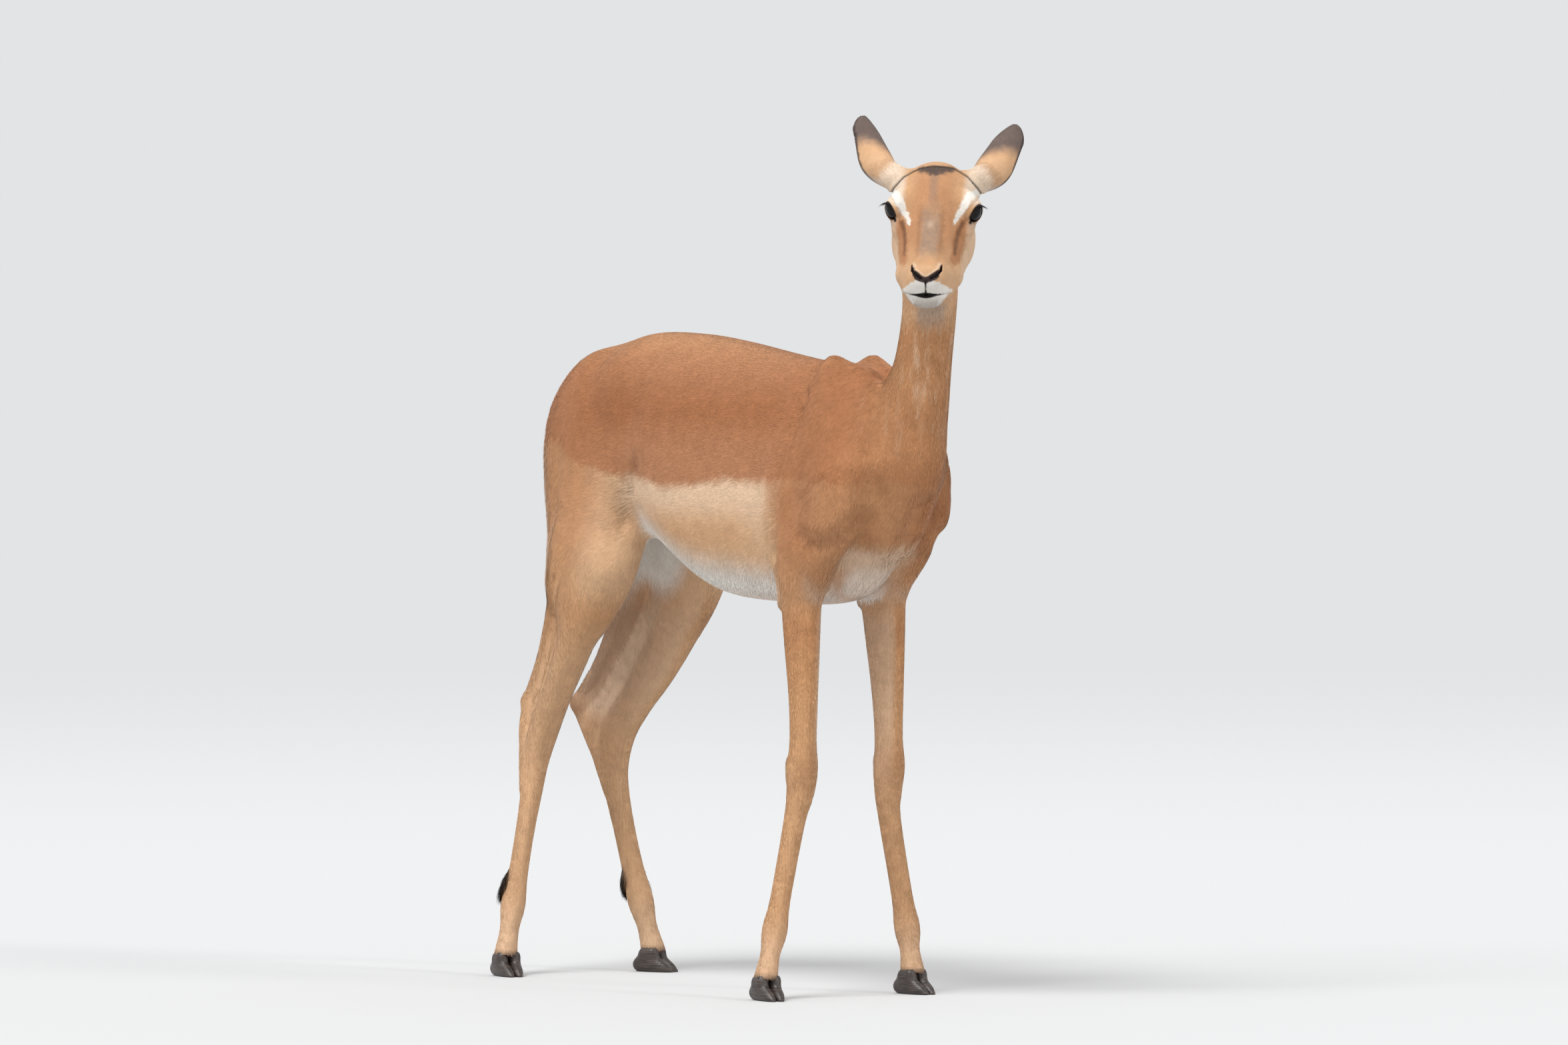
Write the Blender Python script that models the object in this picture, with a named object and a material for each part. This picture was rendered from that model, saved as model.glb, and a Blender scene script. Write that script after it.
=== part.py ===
import bmesh
import bpy
import numpy as np
from math import cos, pi, radians, sin

def at(forward, left, up):
    """A point of the model's frame: it faces -Y, its left is +X, and +Z is up."""
    return np.array((left, -forward, up), float)

# ---- sizes, in metres and radians ------------------------------------------
PLACE = (-0.0025, 0.0635, 0.0)          # brings the middle of the bounding box over the origin
HEAD_TURN, HEAD_NOD, HEAD_TILT = radians(40), radians(32), radians(2)
EYE_MIDPOINT = at(0.478, -0.0217, 1.0665)
EYE_RADIUS = 0.0170
EYE_SEAT = (0.001, 0.0468, 0.001)       # an eye's centre: forward, outward and up from between the eyes
EAR_LENGTH, EAR_HALF_WIDTH, EAR_THICKNESS = 0.138, 0.0245, 0.0052
EAR_ROOT, EAR_STEM = (-0.060, 0.053, 0.010), (-0.050, 0.036, 0.000)
# for the left (1) and right (-1) ear: forward, outward and up of its length and of its opening
EAR_WAY = {1: (-0.74, 0.325, 0.53), -1: (-0.70, 0.385, 0.615)}
EAR_OPENING = {1: (-1.00, 0.25, -0.20), -1: (-0.80, 0.62, -0.20)}

# the trunk: forward, top, bottom, half width, how low the widest part lies
TRUNK = ((0.345, 0.820, 0.590, 0.040, 0.12), (0.29, 0.853, 0.548, 0.056, 0.14),
         (0.22, 0.860, 0.532, 0.076, 0.14), (0.12, 0.872, 0.532, 0.094, 0.12),
         (0.00, 0.888, 0.541, 0.106, 0.10), (-0.10, 0.897, 0.585, 0.106, 0.02),
         (-0.20, 0.896, 0.640, 0.092, -0.04), (-0.28, 0.866, 0.660, 0.080, -0.04),
         (-0.340, 0.822, 0.680, 0.062, 0.0))
# the face: ahead of the eyes, top, bottom, half width, how low the widest part lies
FACE = ((-0.060, 0.018, -0.070, 0.041, 0.00), (-0.020, 0.031, -0.086, 0.0485, 0.12),
        (0.020, 0.026, -0.088, 0.0495, 0.22), (0.060, 0.0165, -0.080, 0.0450, 0.26),
        (0.100, 0.0090, -0.070, 0.0388, 0.27), (0.135, 0.0055, -0.062, 0.0335, 0.20),
        (0.155, 0.0030, -0.054, 0.0280, 0.10))

# the other tables hold, from one end to the other: forward, outward, up, half width, half depth
NECK = ((0.328, 0, 0.690, 0.052, 0.076), (0.376, 0, 0.728, 0.049, 0.071), (0.395, 0, 0.780, 0.0445, 0.0615),
        (0.410, 0, 0.818, 0.0400, 0.0535), (0.4245, 0, 0.862, 0.0370, 0.0440),
        (0.4385, 0, 0.935, 0.0358, 0.0400), (0.4385, 0.000, 1.000, 0.0375, 0.0445),
        (0.434, 0.006, 1.045, 0.038, 0.045))
TAIL = ((-0.372, 0, 0.818, 0.024, 0.026), (-0.406, 0.001, 0.800, 0.018, 0.018),
        (-0.430, 0.002, 0.765, 0.016, 0.013), (-0.438, 0.003, 0.690, 0.014, 0.011),
        (-0.441, 0.004, 0.610, 0.014, 0.011), (-0.441, 0.005, 0.540, 0.016, 0.012),
        (-0.438, 0.006, 0.490, 0.010, 0.008), (-0.436, 0.006, 0.472, 0.004, 0.004))
THIGH = ((-0.274, 0.044, 0.786, 0.038, 0.086), (-0.272, 0.051, 0.750, 0.042, 0.110),
         (-0.266, 0.056, 0.705, 0.043, 0.122), (-0.260, 0.062, 0.655, 0.041, 0.115),
         (-0.256, 0.072, 0.605, 0.037, 0.099), (-0.264, 0.080, 0.555, 0.031, 0.076))
BLADE = ((0.262, 0.030, 0.850, 0.013, 0.026), (0.270, 0.048, 0.805, 0.018, 0.042),
         (0.288, 0.064, 0.750, 0.023, 0.050), (0.312, 0.074, 0.700, 0.027, 0.048))
SHOULDER = ((0.335, 0.066, 0.690, 0.030, 0.040), (0.322, 0.074, 0.655, 0.031, 0.044),
            (0.285, 0.074, 0.615, 0.030, 0.042), (0.248, 0.070, 0.575, 0.029, 0.042))
YOKE = ((0.300, 0.022, 0.822, 0.024, 0.040), (0.340, 0.034, 0.768, 0.032, 0.050),
        (0.362, 0.044, 0.715, 0.034, 0.046))
ELBOW = ((0.198, 0.066, 0.580, 0.015, 0.018), (0.206, 0.067, 0.535, 0.016, 0.022))
KNEE_BACK = ((0.228, 0.073, 0.318, 0.0125, 0.0120), (0.226, 0.073, 0.298, 0.0110, 0.0110))
FORE_LEG = ((0.236, 0.060, 0.605, 0.034, 0.044), (0.236, 0.067, 0.548, 0.0270, 0.0390),
            (0.240, 0.069, 0.480, 0.0235, 0.0320), (0.244, 0.070, 0.410, 0.0195, 0.0255),
            (0.245, 0.071, 0.350, 0.0185, 0.0215), (0.245, 0.072, 0.312, 0.0215, 0.0225),
            (0.241, 0.073, 0.278, 0.0195, 0.0195), (0.236, 0.079, 0.240, 0.0150, 0.0170))
HIND_LEG = {1: ((-0.240, 0.084, 0.560, 0.032, 0.047), (-0.280, 0.085, 0.492, 0.028, 0.038),
                (-0.322, 0.078, 0.428, 0.0225, 0.031), (-0.360, 0.070, 0.382, 0.0200, 0.0270),
                (-0.390, 0.062, 0.342, 0.0205, 0.0275), (-0.404, 0.060, 0.300, 0.0185, 0.0255),
                (-0.403, 0.064, 0.258, 0.0155, 0.0195), (-0.393, 0.072, 0.195, 0.0138, 0.0165),
                (-0.381, 0.079, 0.138, 0.0145, 0.0170)),
            -1: ((-0.219, 0.088, 0.575, 0.032, 0.048), (-0.254, 0.090, 0.512, 0.029, 0.042),
                 (-0.292, 0.085, 0.455, 0.0235, 0.033), (-0.338, 0.077, 0.400, 0.0205, 0.0265),
                 (-0.382, 0.069, 0.350, 0.0205, 0.0270), (-0.404, 0.070, 0.304, 0.0185, 0.0260),
                 (-0.402, 0.078, 0.262, 0.0155, 0.0195), (-0.401, 0.091, 0.200, 0.0135, 0.0160),
                 (-0.404, 0.101, 0.138, 0.0140, 0.0165))}
# single lumps: forward, outward, up, then the radii across, along and up
HIP = (-0.160, 0.064, 0.820, 0.026, 0.055, 0.046)
UPPER_ARM = (0.226, 0.064, 0.665, 0.031, 0.060, 0.098)
# the skull, measured from between the eyes: lumps on the middle line and on each side
SKULL_MIDDLE = ((-0.050, 0, -0.004, 0.044, 0.050, 0.037), (-0.012, 0, 0.010, 0.048, 0.036, 0.022),
                (0.142, 0, -0.014, 0.026, 0.027, 0.0195), (0.132, 0, -0.050, 0.0245, 0.024, 0.0145))
SKULL_SIDE = ((-0.002, 0.046, 0.002, 0.0150, 0.024, 0.0215), (0.006, 0.036, -0.042, 0.018, 0.034, 0.032),
              (-0.034, 0.034, -0.066, 0.013, 0.024, 0.026))
# rods of the skull: forward, outward, up and radius of one end, and of the other
NAPE_ROD = ((-0.066, 0, -0.036, 0.036), (-0.035, 0, -0.060, 0.034))
CHEEK_ROD = ((0.028, 0.046, -0.016, 0.0085), (-0.05, 0.044, -0.012, 0.0085))
LIP_ROD = ((0.125, 0.020, -0.030, 0.0125), (0.095, 0.030, -0.044, 0.0125))
# how softly parts run into each other
TRUNK_BLEND, SHOULDER_BLEND, LEG_BLEND, HOCK_BLEND, SKULL_BLEND = 0.038, 0.030, 0.010, 0.012, 0.012
NECK_JOIN, SHOULDER_JOIN, ELBOW_JOIN, HIP_JOIN = 0.040, 0.024, 0.014, 0.030
HEAD_JOIN, EAR_JOIN, TAIL_JOIN = 0.016, 0.010, 0.010
# forward, outward and up of the point of each hock, and of where its tendon leaves the thigh
HEEL = {1: (-0.454, 0.035, 0.376), -1: (-0.440, 0.058, 0.380)}
CORD = {1: (-0.318, 0.068, 0.575), -1: (-0.300, 0.078, 0.590)}
# forward, outward and up of each fetlock; forward and outward of each foot; how far its toes turn out
FETLOCK = {("fore", 1): (0.225, 0.116, 0.090), ("fore", -1): (0.221, 0.101, 0.093),
           ("hind", 1): (-0.371, 0.084, 0.098), ("hind", -1): (-0.407, 0.107, 0.098)}
TOE = {("fore", 1): (0.240, 0.118), ("fore", -1): (0.238, 0.124), ("hind", 1): (-0.350, 0.094),
       ("hind", -1): (-0.386, 0.130)}
TOE_OUT = {("fore", 1): radians(6), ("fore", -1): radians(10), ("hind", 1): radians(22),
           ("hind", -1): radians(12)}
CORONET = 0.030                         # where hoof meets hair, above the floor
CLAW_APART = 0.0094                     # from the middle of a foot to the middle of each claw

# ---- shapes as distance fields ----------------------------------------------
def length(v):
    return np.sqrt(np.einsum("ij,ij->i", v, v))

def blob(centre, radii):
    """An ellipsoid with radii to the left, back and up."""
    centre, radii = np.asarray(centre, np.float32), np.asarray(radii, np.float32)
    def distance(p):
        q = p - centre
        near = length(q / radii)
        steep = length(q / radii ** 2)
        return near * (near - 1) / np.maximum(steep, 1e-6)
    return distance

def limb(start, end, start_radius, end_radius):
    """A tapering rod from start to end."""
    start = np.asarray(start, np.float32)
    line = np.asarray(end, np.float32) - start
    def distance(p):
        q = p - start
        t = np.clip(q @ line / (line @ line), 0, 1)
        return length(q - t[:, None] * line) - (start_radius + (end_radius - start_radius) * t)
    return distance

def smooth_union(a, b, blend):
    h = np.clip(0.5 + 0.5 * (b - a) / blend, 0, 1)
    return b + (a - b) * h - blend * h * (1 - h)

def smooth_cut(a, b, blend):
    return -smooth_union(-a, b, blend)

def axes_of(forward, up):
    """Rows: left, back and up of a frame that faces forward."""
    forward = np.asarray(forward, float)
    forward = forward / np.linalg.norm(forward)
    up = np.asarray(up, float) - (np.asarray(up, float) @ forward) * forward
    up /= np.linalg.norm(up)
    return np.array((np.cross(up, forward), -forward, up))

def sample(field, low, high, step, coarse=4):
    """Values of the field on a grid; exact near the surface, and only signed far from it."""
    low = np.asarray(low, float)
    n = np.ceil((np.asarray(high) - low) / (step * coarse)).astype(int) + 1
    big = [low[i] + step * coarse * np.arange(n[i] + 1) for i in range(3)]
    grid = np.stack(np.meshgrid(*big, indexing="ij"), -1).reshape(-1, 3).astype(np.float32)
    rough = field(grid).reshape(n + 1)
    fine = np.repeat(np.repeat(np.repeat(rough, coarse, 0), coarse, 1), coarse, 2).astype(np.float32)
    near = np.abs(rough) < 2.6 * step * coarse
    flag = np.repeat(np.repeat(np.repeat(near, coarse, 0), coarse, 1), coarse, 2)
    index = np.argwhere(flag)
    out = np.empty(len(index), np.float32)
    for i in range(0, len(index), 400000):
        out[i:i + 400000] = field((low + index[i:i + 400000] * step).astype(np.float32))
    fine[tuple(index.T)] = out
    return fine

def filled(values):
    """Closes the grid corners at which a surface would touch itself, so that the mesh is a clean skin."""
    values = values.copy()
    full = [slice(None)] * 3
    def part(offsets, axes):
        index = list(full)
        for axis, offset in zip(axes, offsets):
            index[axis] = slice(offset, values.shape[axis] - 1 + offset)
        return tuple(index)
    for _ in range(20):
        before = int((values < 0).sum())
        for axes in ((0, 1), (0, 2), (1, 2)):
            a, b, c, d = (part(o, axes) for o in ((0, 0), (1, 1), (1, 0), (0, 1)))
            ia, ib, ic, id_ = (values[k] < 0 for k in (a, b, c, d))
            values[c] = np.where(ia & ib & ~ic & ~id_, -1e-5, values[c])
            values[a] = np.where(ic & id_ & ~ia & ~ib, -1e-5, values[a])
        count = sum((values[part(o, (0, 1, 2))] < 0).astype(np.int8) for o in np.ndindex(2, 2, 2))
        for o in ((0, 0, 0), (1, 0, 0), (0, 1, 0), (0, 0, 1)):
            far = tuple(1 - k for k in o)
            here, there = part(o, (0, 1, 2)), part(far, (0, 1, 2))
            pair = (values[here] < 0) & (values[there] < 0) & (count == 2)
            hole = (values[here] >= 0) & (values[there] >= 0) & (count == 6)
            for k in ((far[0], o[1], o[2]), (far[0], far[1], o[2])):
                values[part(k, (0, 1, 2))] = np.where(pair, -1e-5, values[part(k, (0, 1, 2))])
            values[here] = np.where(hole, -1e-5, values[here])
        if int((values < 0).sum()) == before:
            break
    return values

def surface_net(values, low, step):
    """(points, quads) of the zero surface of a grid of values: one point in each cell that it crosses."""
    inside = values < 0
    corners = [inside[i:values.shape[0] - 1 + i, j:values.shape[1] - 1 + j, k:values.shape[2] - 1 + k]
               for i in (0, 1) for j in (0, 1) for k in (0, 1)]
    count = np.zeros(corners[0].shape, np.int8)
    for c in corners:
        count += c
    cells = np.argwhere((count > 0) & (count < 8))
    number = np.full(count.shape, -1, np.int32)
    number[tuple(cells.T)] = np.arange(len(cells))
    total, hits = np.zeros((len(cells), 3)), np.zeros(len(cells))
    for axis in range(3):
        others = [a for a in range(3) if a != axis]
        for da in (0, 1):
            for db in (0, 1):
                first = cells.copy()
                first[:, others[0]] += da
                first[:, others[1]] += db
                second = first.copy()
                second[:, axis] += 1
                va, vb = values[tuple(first.T)], values[tuple(second.T)]
                cross = (va < 0) != (vb < 0)
                t = np.where(cross, va / np.where(cross, va - vb, 1), 0)
                point = first.astype(float)
                point[:, axis] += t
                total += point * cross[:, None]
                hits += cross
    points = np.asarray(low) + total / hits[:, None] * step
    quads = []
    for axis in range(3):
        b, c = (axis + 1) % 3, (axis + 2) % 3
        lower = np.take(inside, range(values.shape[axis] - 1), axis)
        upper = np.take(inside, range(1, values.shape[axis]), axis)
        edge = np.argwhere(lower != upper)
        edge = edge[(edge[:, b] > 0) & (edge[:, b] < values.shape[b] - 1)]
        edge = edge[(edge[:, c] > 0) & (edge[:, c] < values.shape[c] - 1)]
        leaving = lower[tuple(edge.T)]
        ring = []
        for db, dc in ((1, 1), (0, 1), (0, 0), (1, 0)):
            cell = edge.copy()
            cell[:, b] -= db
            cell[:, c] -= dc
            ring.append(number[tuple(cell.T)])
        ring = np.stack(ring, 1)
        ring[~leaving] = ring[~leaving][:, ::-1]
        quads.append(ring)
    return points, np.concatenate(quads)

def slope(field, p, step=4e-4):
    g = np.empty((len(p), 3))
    for i in range(3):
        d = np.zeros(3)
        d[i] = step
        g[:, i] = (field((p + d).astype(np.float32)) - field((p - d).astype(np.float32))) / (2 * step)
    return g

def settle(field, p, level=0.0, rounds=3, most=0.004):
    """Moves points onto the field's level surface."""
    for _ in range(rounds):
        value = field(p.astype(np.float32)) - level
        g = slope(field, p)
        move = value[:, None] * g / np.maximum((g * g).sum(1), 0.05)[:, None]
        size = np.linalg.norm(move, axis=1)
        move *= np.minimum(1, most / np.maximum(size, 1e-9))[:, None]
        p = p - move
    return p

def smooth_table(rows, count=12):
    """Rows of numbers run through a soft curve, count steps between each pair."""
    rows = np.array(rows, float)
    ends = np.vstack((2 * rows[0] - rows[1], rows, 2 * rows[-1] - rows[-2]))
    out = []
    for i in range(1, len(rows)):
        a, b, c, d = ends[i - 1], ends[i], ends[i + 1], ends[i + 2]
        for t in np.arange(count) / count:
            bend = (2 * a - 5 * b + 4 * c - d) * t ** 2 + (3 * b - a - 3 * c + d) * t ** 3
            out.append(b + 0.5 * ((c - a) * t + bend))
    out.append(rows[-1])
    return np.array(out)

def sweep(stations, across=(1, 0, 0), steps=4, reach=0.075, cap=None):
    """A rounded bar through stations: (point, half width along across, half depth)."""
    rows = smooth_table([list(p) + [w, d] for p, w, d in stations], steps)
    points, wide, deep = rows[:, :3], rows[:, 3], rows[:, 4]
    across = np.asarray(across, float) / np.linalg.norm(across)
    low = (points - rows[:, 3:].max(1)[:, None]).min(0) - reach
    high = (points + rows[:, 3:].max(1)[:, None]).max(0) + reach
    def distance(p):
        out = np.maximum(low - p, p - high).max(1) + reach
        near = np.flatnonzero(out < reach)
        if len(near) == 0:
            return out
        q = p[near]
        best = np.full(len(q), 9.0, np.float32)
        for i in range(len(points) - 1):
            line = points[i + 1] - points[i]
            size = line @ line
            r = q - points[i].astype(np.float32)
            along = r @ line.astype(np.float32) / size
            t = np.clip(along, 0, 1)
            off = r - t[:, None] * line.astype(np.float32)
            w = wide[i] + (wide[i + 1] - wide[i]) * t
            d = deep[i] + (deep[i + 1] - deep[i]) * t
            x = off @ across.astype(np.float32)
            end = (along - t) ** 2 * size
            rest = np.maximum(np.einsum("ij,ij->i", off, off) - x * x - end, 0)
            c = d
            if cap and i == 0:
                c = np.where(along < 0, cap, c)
            if cap and i == len(points) - 2:
                c = np.where(along > 1, cap, c)
            k = np.sqrt(x * x / w ** 2 + rest / d ** 2 + end / c ** 2)
            g = np.sqrt(x * x / w ** 4 + rest / d ** 4 + end / c ** 4)
            best = np.minimum(best, np.where(k > 1e-3, k * (k - 1) / np.maximum(g, 1e-3), -np.minimum(w, d)))
        out[near] = np.minimum(best, reach + 0.05)
        return out
    return distance

def barrel(stations, power=2.3, front_cap=0.06, back_cap=0.05):
    """The trunk: rows of forward, top, bottom, half width, and how low the widest part lies (0 middle)."""
    rows = smooth_table(sorted(stations), 8)
    f = rows[:, 0]
    def distance(p):
        ahead = -p[:, 1]
        at_f = np.clip(ahead, f[0], f[-1])
        top, bottom, half, sag = (np.interp(at_f, f, rows[:, i]) for i in (1, 2, 3, 4))
        over = np.where(ahead > f[-1], (ahead - f[-1]) / front_cap, (ahead - f[0]) / back_cap)
        over = np.where((ahead > f[-1]) | (ahead < f[0]), np.abs(over), 0)
        middle, tall = (top + bottom) / 2, (top - bottom) / 2
        y = (p[:, 2] - middle) / tall
        half = half * (1 - sag * np.clip(y, -1, 1))
        x, y = np.abs(p[:, 0]) / half, np.abs(y)
        k = np.maximum((x ** power + y ** power + over ** power) ** (1 / power), 1e-3)
        cap = np.where(ahead > 0, front_cap, back_cap)
        steep = [(v ** (power - 1) / size) ** 2 for v, size in ((x, half), (y, tall), (over, cap))]
        g = np.sqrt(sum(steep))
        return (k - 1) * k ** (power - 1) / np.maximum(g, 1.5)
    return distance

# ---- the animal ------------------------------------------------------------
def head_axes():
    face = at(cos(HEAD_NOD) * cos(HEAD_TURN), -cos(HEAD_NOD) * sin(HEAD_TURN), -sin(HEAD_NOD))
    side = at(sin(HEAD_TURN), cos(HEAD_TURN), 0)
    crown = np.cross(side, -face)
    return axes_of(face, crown * cos(HEAD_TILT) + side * sin(HEAD_TILT))

HEAD = head_axes()
LEVEL_HEAD = axes_of(at(cos(HEAD_TURN), -sin(HEAD_TURN), 0), at(0, 0, 1))

def in_head(forward, left, up):
    return EYE_MIDPOINT + at(forward, left, up) @ HEAD

def to_head(p):
    """Points in the head's frame: left, back and up from between the eyes."""
    return (p - EYE_MIDPOINT.astype(np.float32)) @ HEAD.T.astype(np.float32)

def join(fields, blend):
    def distance(p):
        total = fields[0](p)
        for f in fields[1:]:
            total = smooth_union(total, f(p), blend)
        return total
    return distance

def stations(table, side=1):
    """The stations of a sweep from a table of forward, outward, up, half width and half depth."""
    return [(at(f, side * out, u), wide, deep) for f, out, u, wide, deep in table]

def lump(row, side=1):
    """A blob from a row of forward, outward, up and three radii."""
    f, out, u = row[:3]
    return blob(at(f, side * out, u), row[3:])

def rod(ends, side=1):
    """A limb from its two ends, each forward, outward, up and radius."""
    (f0, out0, u0, start), (f1, out1, u1, end) = ends
    return limb(at(f0, side * out0, u0), at(f1, side * out1, u1), start, end)

def outward(kind, side):
    """The across direction of a leg with its toes turned out."""
    turn = TOE_OUT[kind, side]
    return at(-side * sin(turn), cos(turn), 0)

def foot(kind, side):
    """(fetlock, the point on the floor under the foot, how far the foot turns to the left)"""
    f, out, u = FETLOCK[kind, side]
    ahead, away = TOE[kind, side]
    return at(f, side * out, u), at(ahead, side * away, 0), side * TOE_OUT[kind, side]

def pastern(kind, side):
    fetlock, toe, _ = foot(kind, side)
    coronet = toe + at(-0.005, 0, 0.030)
    return [(fetlock, 0.0176, 0.0195), ((fetlock + coronet) / 2, 0.0138, 0.0150), (coronet, 0.0168, 0.0180)]

def trunk():
    parts = [barrel(TRUNK)]
    for s in (-1, 1):
        parts.append(sweep(stations(THIGH, s), steps=6, reach=0.1, cap=0.045))
        parts.append(lump(HIP, s))
    return join(parts, TRUNK_BLEND)

def fore_leg(side):
    s = side
    across = outward("fore", side)
    rows = stations(FORE_LEG, s)
    fetlock = foot("fore", s)[0]
    rows.append((fetlock * 0.72 + rows[-1][0] * 0.28, 0.0140, 0.0165))
    upper = join([sweep(stations(BLADE, s), steps=6, reach=0.06, cap=0.02),
                  lump(UPPER_ARM, s),
                  sweep(stations(SHOULDER, s), steps=6, reach=0.06, cap=0.035),
                  sweep(stations(YOKE, s), steps=6, reach=0.06, cap=0.03)], SHOULDER_BLEND)
    lower = join([sweep(rows + pastern("fore", s), across, cap=0.03),
                  sweep(stations(ELBOW, s), across, cap=0.014),
                  sweep(stations(KNEE_BACK, s), across)], LEG_BLEND)
    return upper, lower

def hind_leg(side):
    across = outward("hind", side)
    rows = stations(HIND_LEG[side], side)
    heel, cord = (at(f, side * out, u) for f, out, u in (HEEL[side], CORD[side]))
    stifle, knee, shin, hock, shank, cannon = (row[0] for row in rows[1:7])
    tendon = ((cord, 0.024, 0.036), (cord * 0.62 + heel * 0.38 + at(0.006, 0, 0.004), 0.0165, 0.0240),
              (cord * 0.3 + heel * 0.7 + at(0.006, 0, 0.002), 0.0100, 0.0120),
              (heel * 0.9 + cord * 0.1, 0.0086, 0.0098), (heel, 0.0105, 0.0110))
    back = ((heel + at(0.004, 0, -0.004), 0.0115, 0.0130),
            (heel * 0.45 + shank * 0.55 + at(-0.012, 0, 0), 0.0135, 0.0160),
            (cannon + at(-0.008, 0, 0), 0.012, 0.012))
    web = ((cord * 0.4 + stifle * 0.6, 0.018, 0.040), (cord * 0.35 + heel * 0.2 + knee * 0.45, 0.0100, 0.034),
           ((heel + shin) / 2 + at(0, 0, 0.010), 0.0065, 0.026), ((heel + hock) / 2, 0.009, 0.022))
    return join([sweep(rows + pastern("hind", side), across, cap=0.035), sweep(tendon, across),
                 sweep(back, across), sweep(web, across, cap=0.02)], HOCK_BLEND)

def skull():
    face = barrel(FACE, 2.35, 0.013, 0.030)
    parts = [lump(row) for row in SKULL_MIDDLE] + [rod(NAPE_ROD)]
    for s in (-1, 1):
        parts += [lump(row, s) for row in SKULL_SIDE] + [rod(CHEEK_ROD, s), rod(LIP_ROD, s)]
    rest = join(parts, SKULL_BLEND)
    def distance(p):
        q = to_head(p)
        out = np.maximum(length(q) - 0.24, 0) + 0.10
        near = np.flatnonzero(out <= 0.10)
        out[near] = smooth_union(face(q[near]), rest(q[near]), 0.014)
        return out
    return distance

def ear_frame(side):
    """(root, the way to the tip, the way the hollow faces, across)"""
    root = in_head(*(np.array(EAR_ROOT) * (1, side, 1)))
    axis = at(*(np.array(EAR_WAY[side]) * (1, side, 1))) @ LEVEL_HEAD
    axis /= np.linalg.norm(axis)
    opening = at(*(np.array(EAR_OPENING[side]) * (1, side, 1))) @ LEVEL_HEAD
    opening -= (opening @ axis) * axis
    opening /= np.linalg.norm(opening)
    return root, axis, opening, np.cross(opening, axis)

def ear(side):
    """A thin curled sheet, nearly closed at its root and open towards its tip."""
    root, axis, opening, across = (a.astype(np.float32) for a in ear_frame(side))
    centre = root + axis * EAR_LENGTH / 2
    stem = limb(in_head(*(np.array(EAR_STEM) * (1, side, 1))), root + axis * 0.020 + opening * 0.004, 0.0235,
                0.0125)
    def distance(p):
        out = length(p - centre) - EAR_LENGTH * 0.62
        near = np.flatnonzero(out < 0.03)
        q = p[near] - root
        t = (q @ axis) / EAR_LENGTH
        x, y = q @ across, q @ opening
        tc = np.clip(t, 0, 1)
        half = EAR_HALF_WIDTH * (0.36 + 0.64 * np.sin(np.minimum(tc / 0.54, 1) * pi / 2))
        half = half * (1 - 0.34 * np.clip((tc - 0.30) / 0.70, 0, 1) ** 1.5)
        half = half * np.sqrt(1 - np.clip((tc - 0.78) / 0.22, 0, 1) ** 2)
        reach = 2.55 - 1.50 * np.clip(tc / 0.75, 0, 1) ** 0.8
        radius = np.maximum(half, 0.004) / np.sin(np.minimum(reach, pi / 2))
        angle = np.arctan2(np.abs(x), radius - y)
        ring = np.sqrt(x * x + (y - radius) ** 2)
        over = np.maximum(radius * (angle - reach), 0)
        thick = EAR_THICKNESS / 2 * (1.3 - 0.45 * tc)
        tip = np.maximum(t - 0.985, 0) * EAR_LENGTH
        base = np.maximum(-t, 0) * EAR_LENGTH
        sheet = np.sqrt((ring - radius) ** 2 + over ** 2 + tip ** 2 + base ** 2) - thick
        out[near] = smooth_union(sheet, stem(p[near]), 0.008)
        return out
    return distance

def claw(toe, turn, inner):
    """One of the two claws of a foot; inner is 1 for the one on the foot's left."""
    heading, across = at(cos(turn), sin(turn), 0), at(-sin(turn), cos(turn), 0)
    middle = toe + across * inner * CLAW_APART
    tip, heel = middle + heading * 0.030 - across * inner * 0.0035, middle - heading * 0.020
    body = sweep(((heel + at(0, 0, 0.010), 0.0082, 0.0100), (middle + at(0, 0, 0.011), 0.0089, 0.0120),
                  (middle * 0.4 + tip * 0.6 + at(0, 0, 0.006), 0.0080, 0.0086),
                  (tip + at(0, 0, 0.001), 0.0042, 0.0038)), across)
    top = limb(middle - heading * 0.011 + at(0, 0, 0.026), middle + heading * 0.002 + at(0, 0, 0.028),
               0.0084, 0.0078)
    return join([body, top], 0.012)

def whole(with_ears=True):
    """The whole animal but its hooves and eyes, out to the tips of its coat."""
    torso, neck = trunk(), sweep(stations(NECK), steps=6, reach=0.1, cap=0.04)
    fore, hind = [fore_leg(s) for s in (1, -1)], [hind_leg(s) for s in (1, -1)]
    head, tail = skull(), sweep(stations(TAIL))
    ears = [ear(1), ear(-1)] if with_ears else []
    def distance(p):
        d = smooth_union(torso(p), neck(p), NECK_JOIN)
        for upper, _ in fore:
            d = smooth_union(d, upper(p), SHOULDER_JOIN)
        for (_, lower), leg in zip(fore, hind):
            d = smooth_union(d, lower(p), ELBOW_JOIN)
            d = smooth_union(d, leg(p), HIP_JOIN)
        d = smooth_union(d, head(p), HEAD_JOIN)
        for e in ears:
            d = smooth_union(d, e(p), EAR_JOIN)
        return smooth_union(d, tail(p), TAIL_JOIN)
    return distance

# ---- solids ----------------------------------------------------------------
GAP = 0.0003                            # left between neighbouring solids
BODY_GRID, HEAD_GRID, CLAW_GRID = 0.0055, 0.0026, 0.0015
BODY_FACES, HEAD_FACES, CLAW_FACES = 3600, 2300, 96
EYE_FACETS = 16
# the boxes, low corner and high corner, in which the body, the head and the tail are made
BODY_ROOM = ((-0.215, -0.60, 0.002), (0.215, 0.52, 1.06))
HEAD_ROOM = ((-0.26, -0.66, 0.88), (0.24, -0.23, 1.26))
TAIL_ROOM = ((-0.040, 0.404, 0.440), (0.040, 0.520, 0.800))
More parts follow.
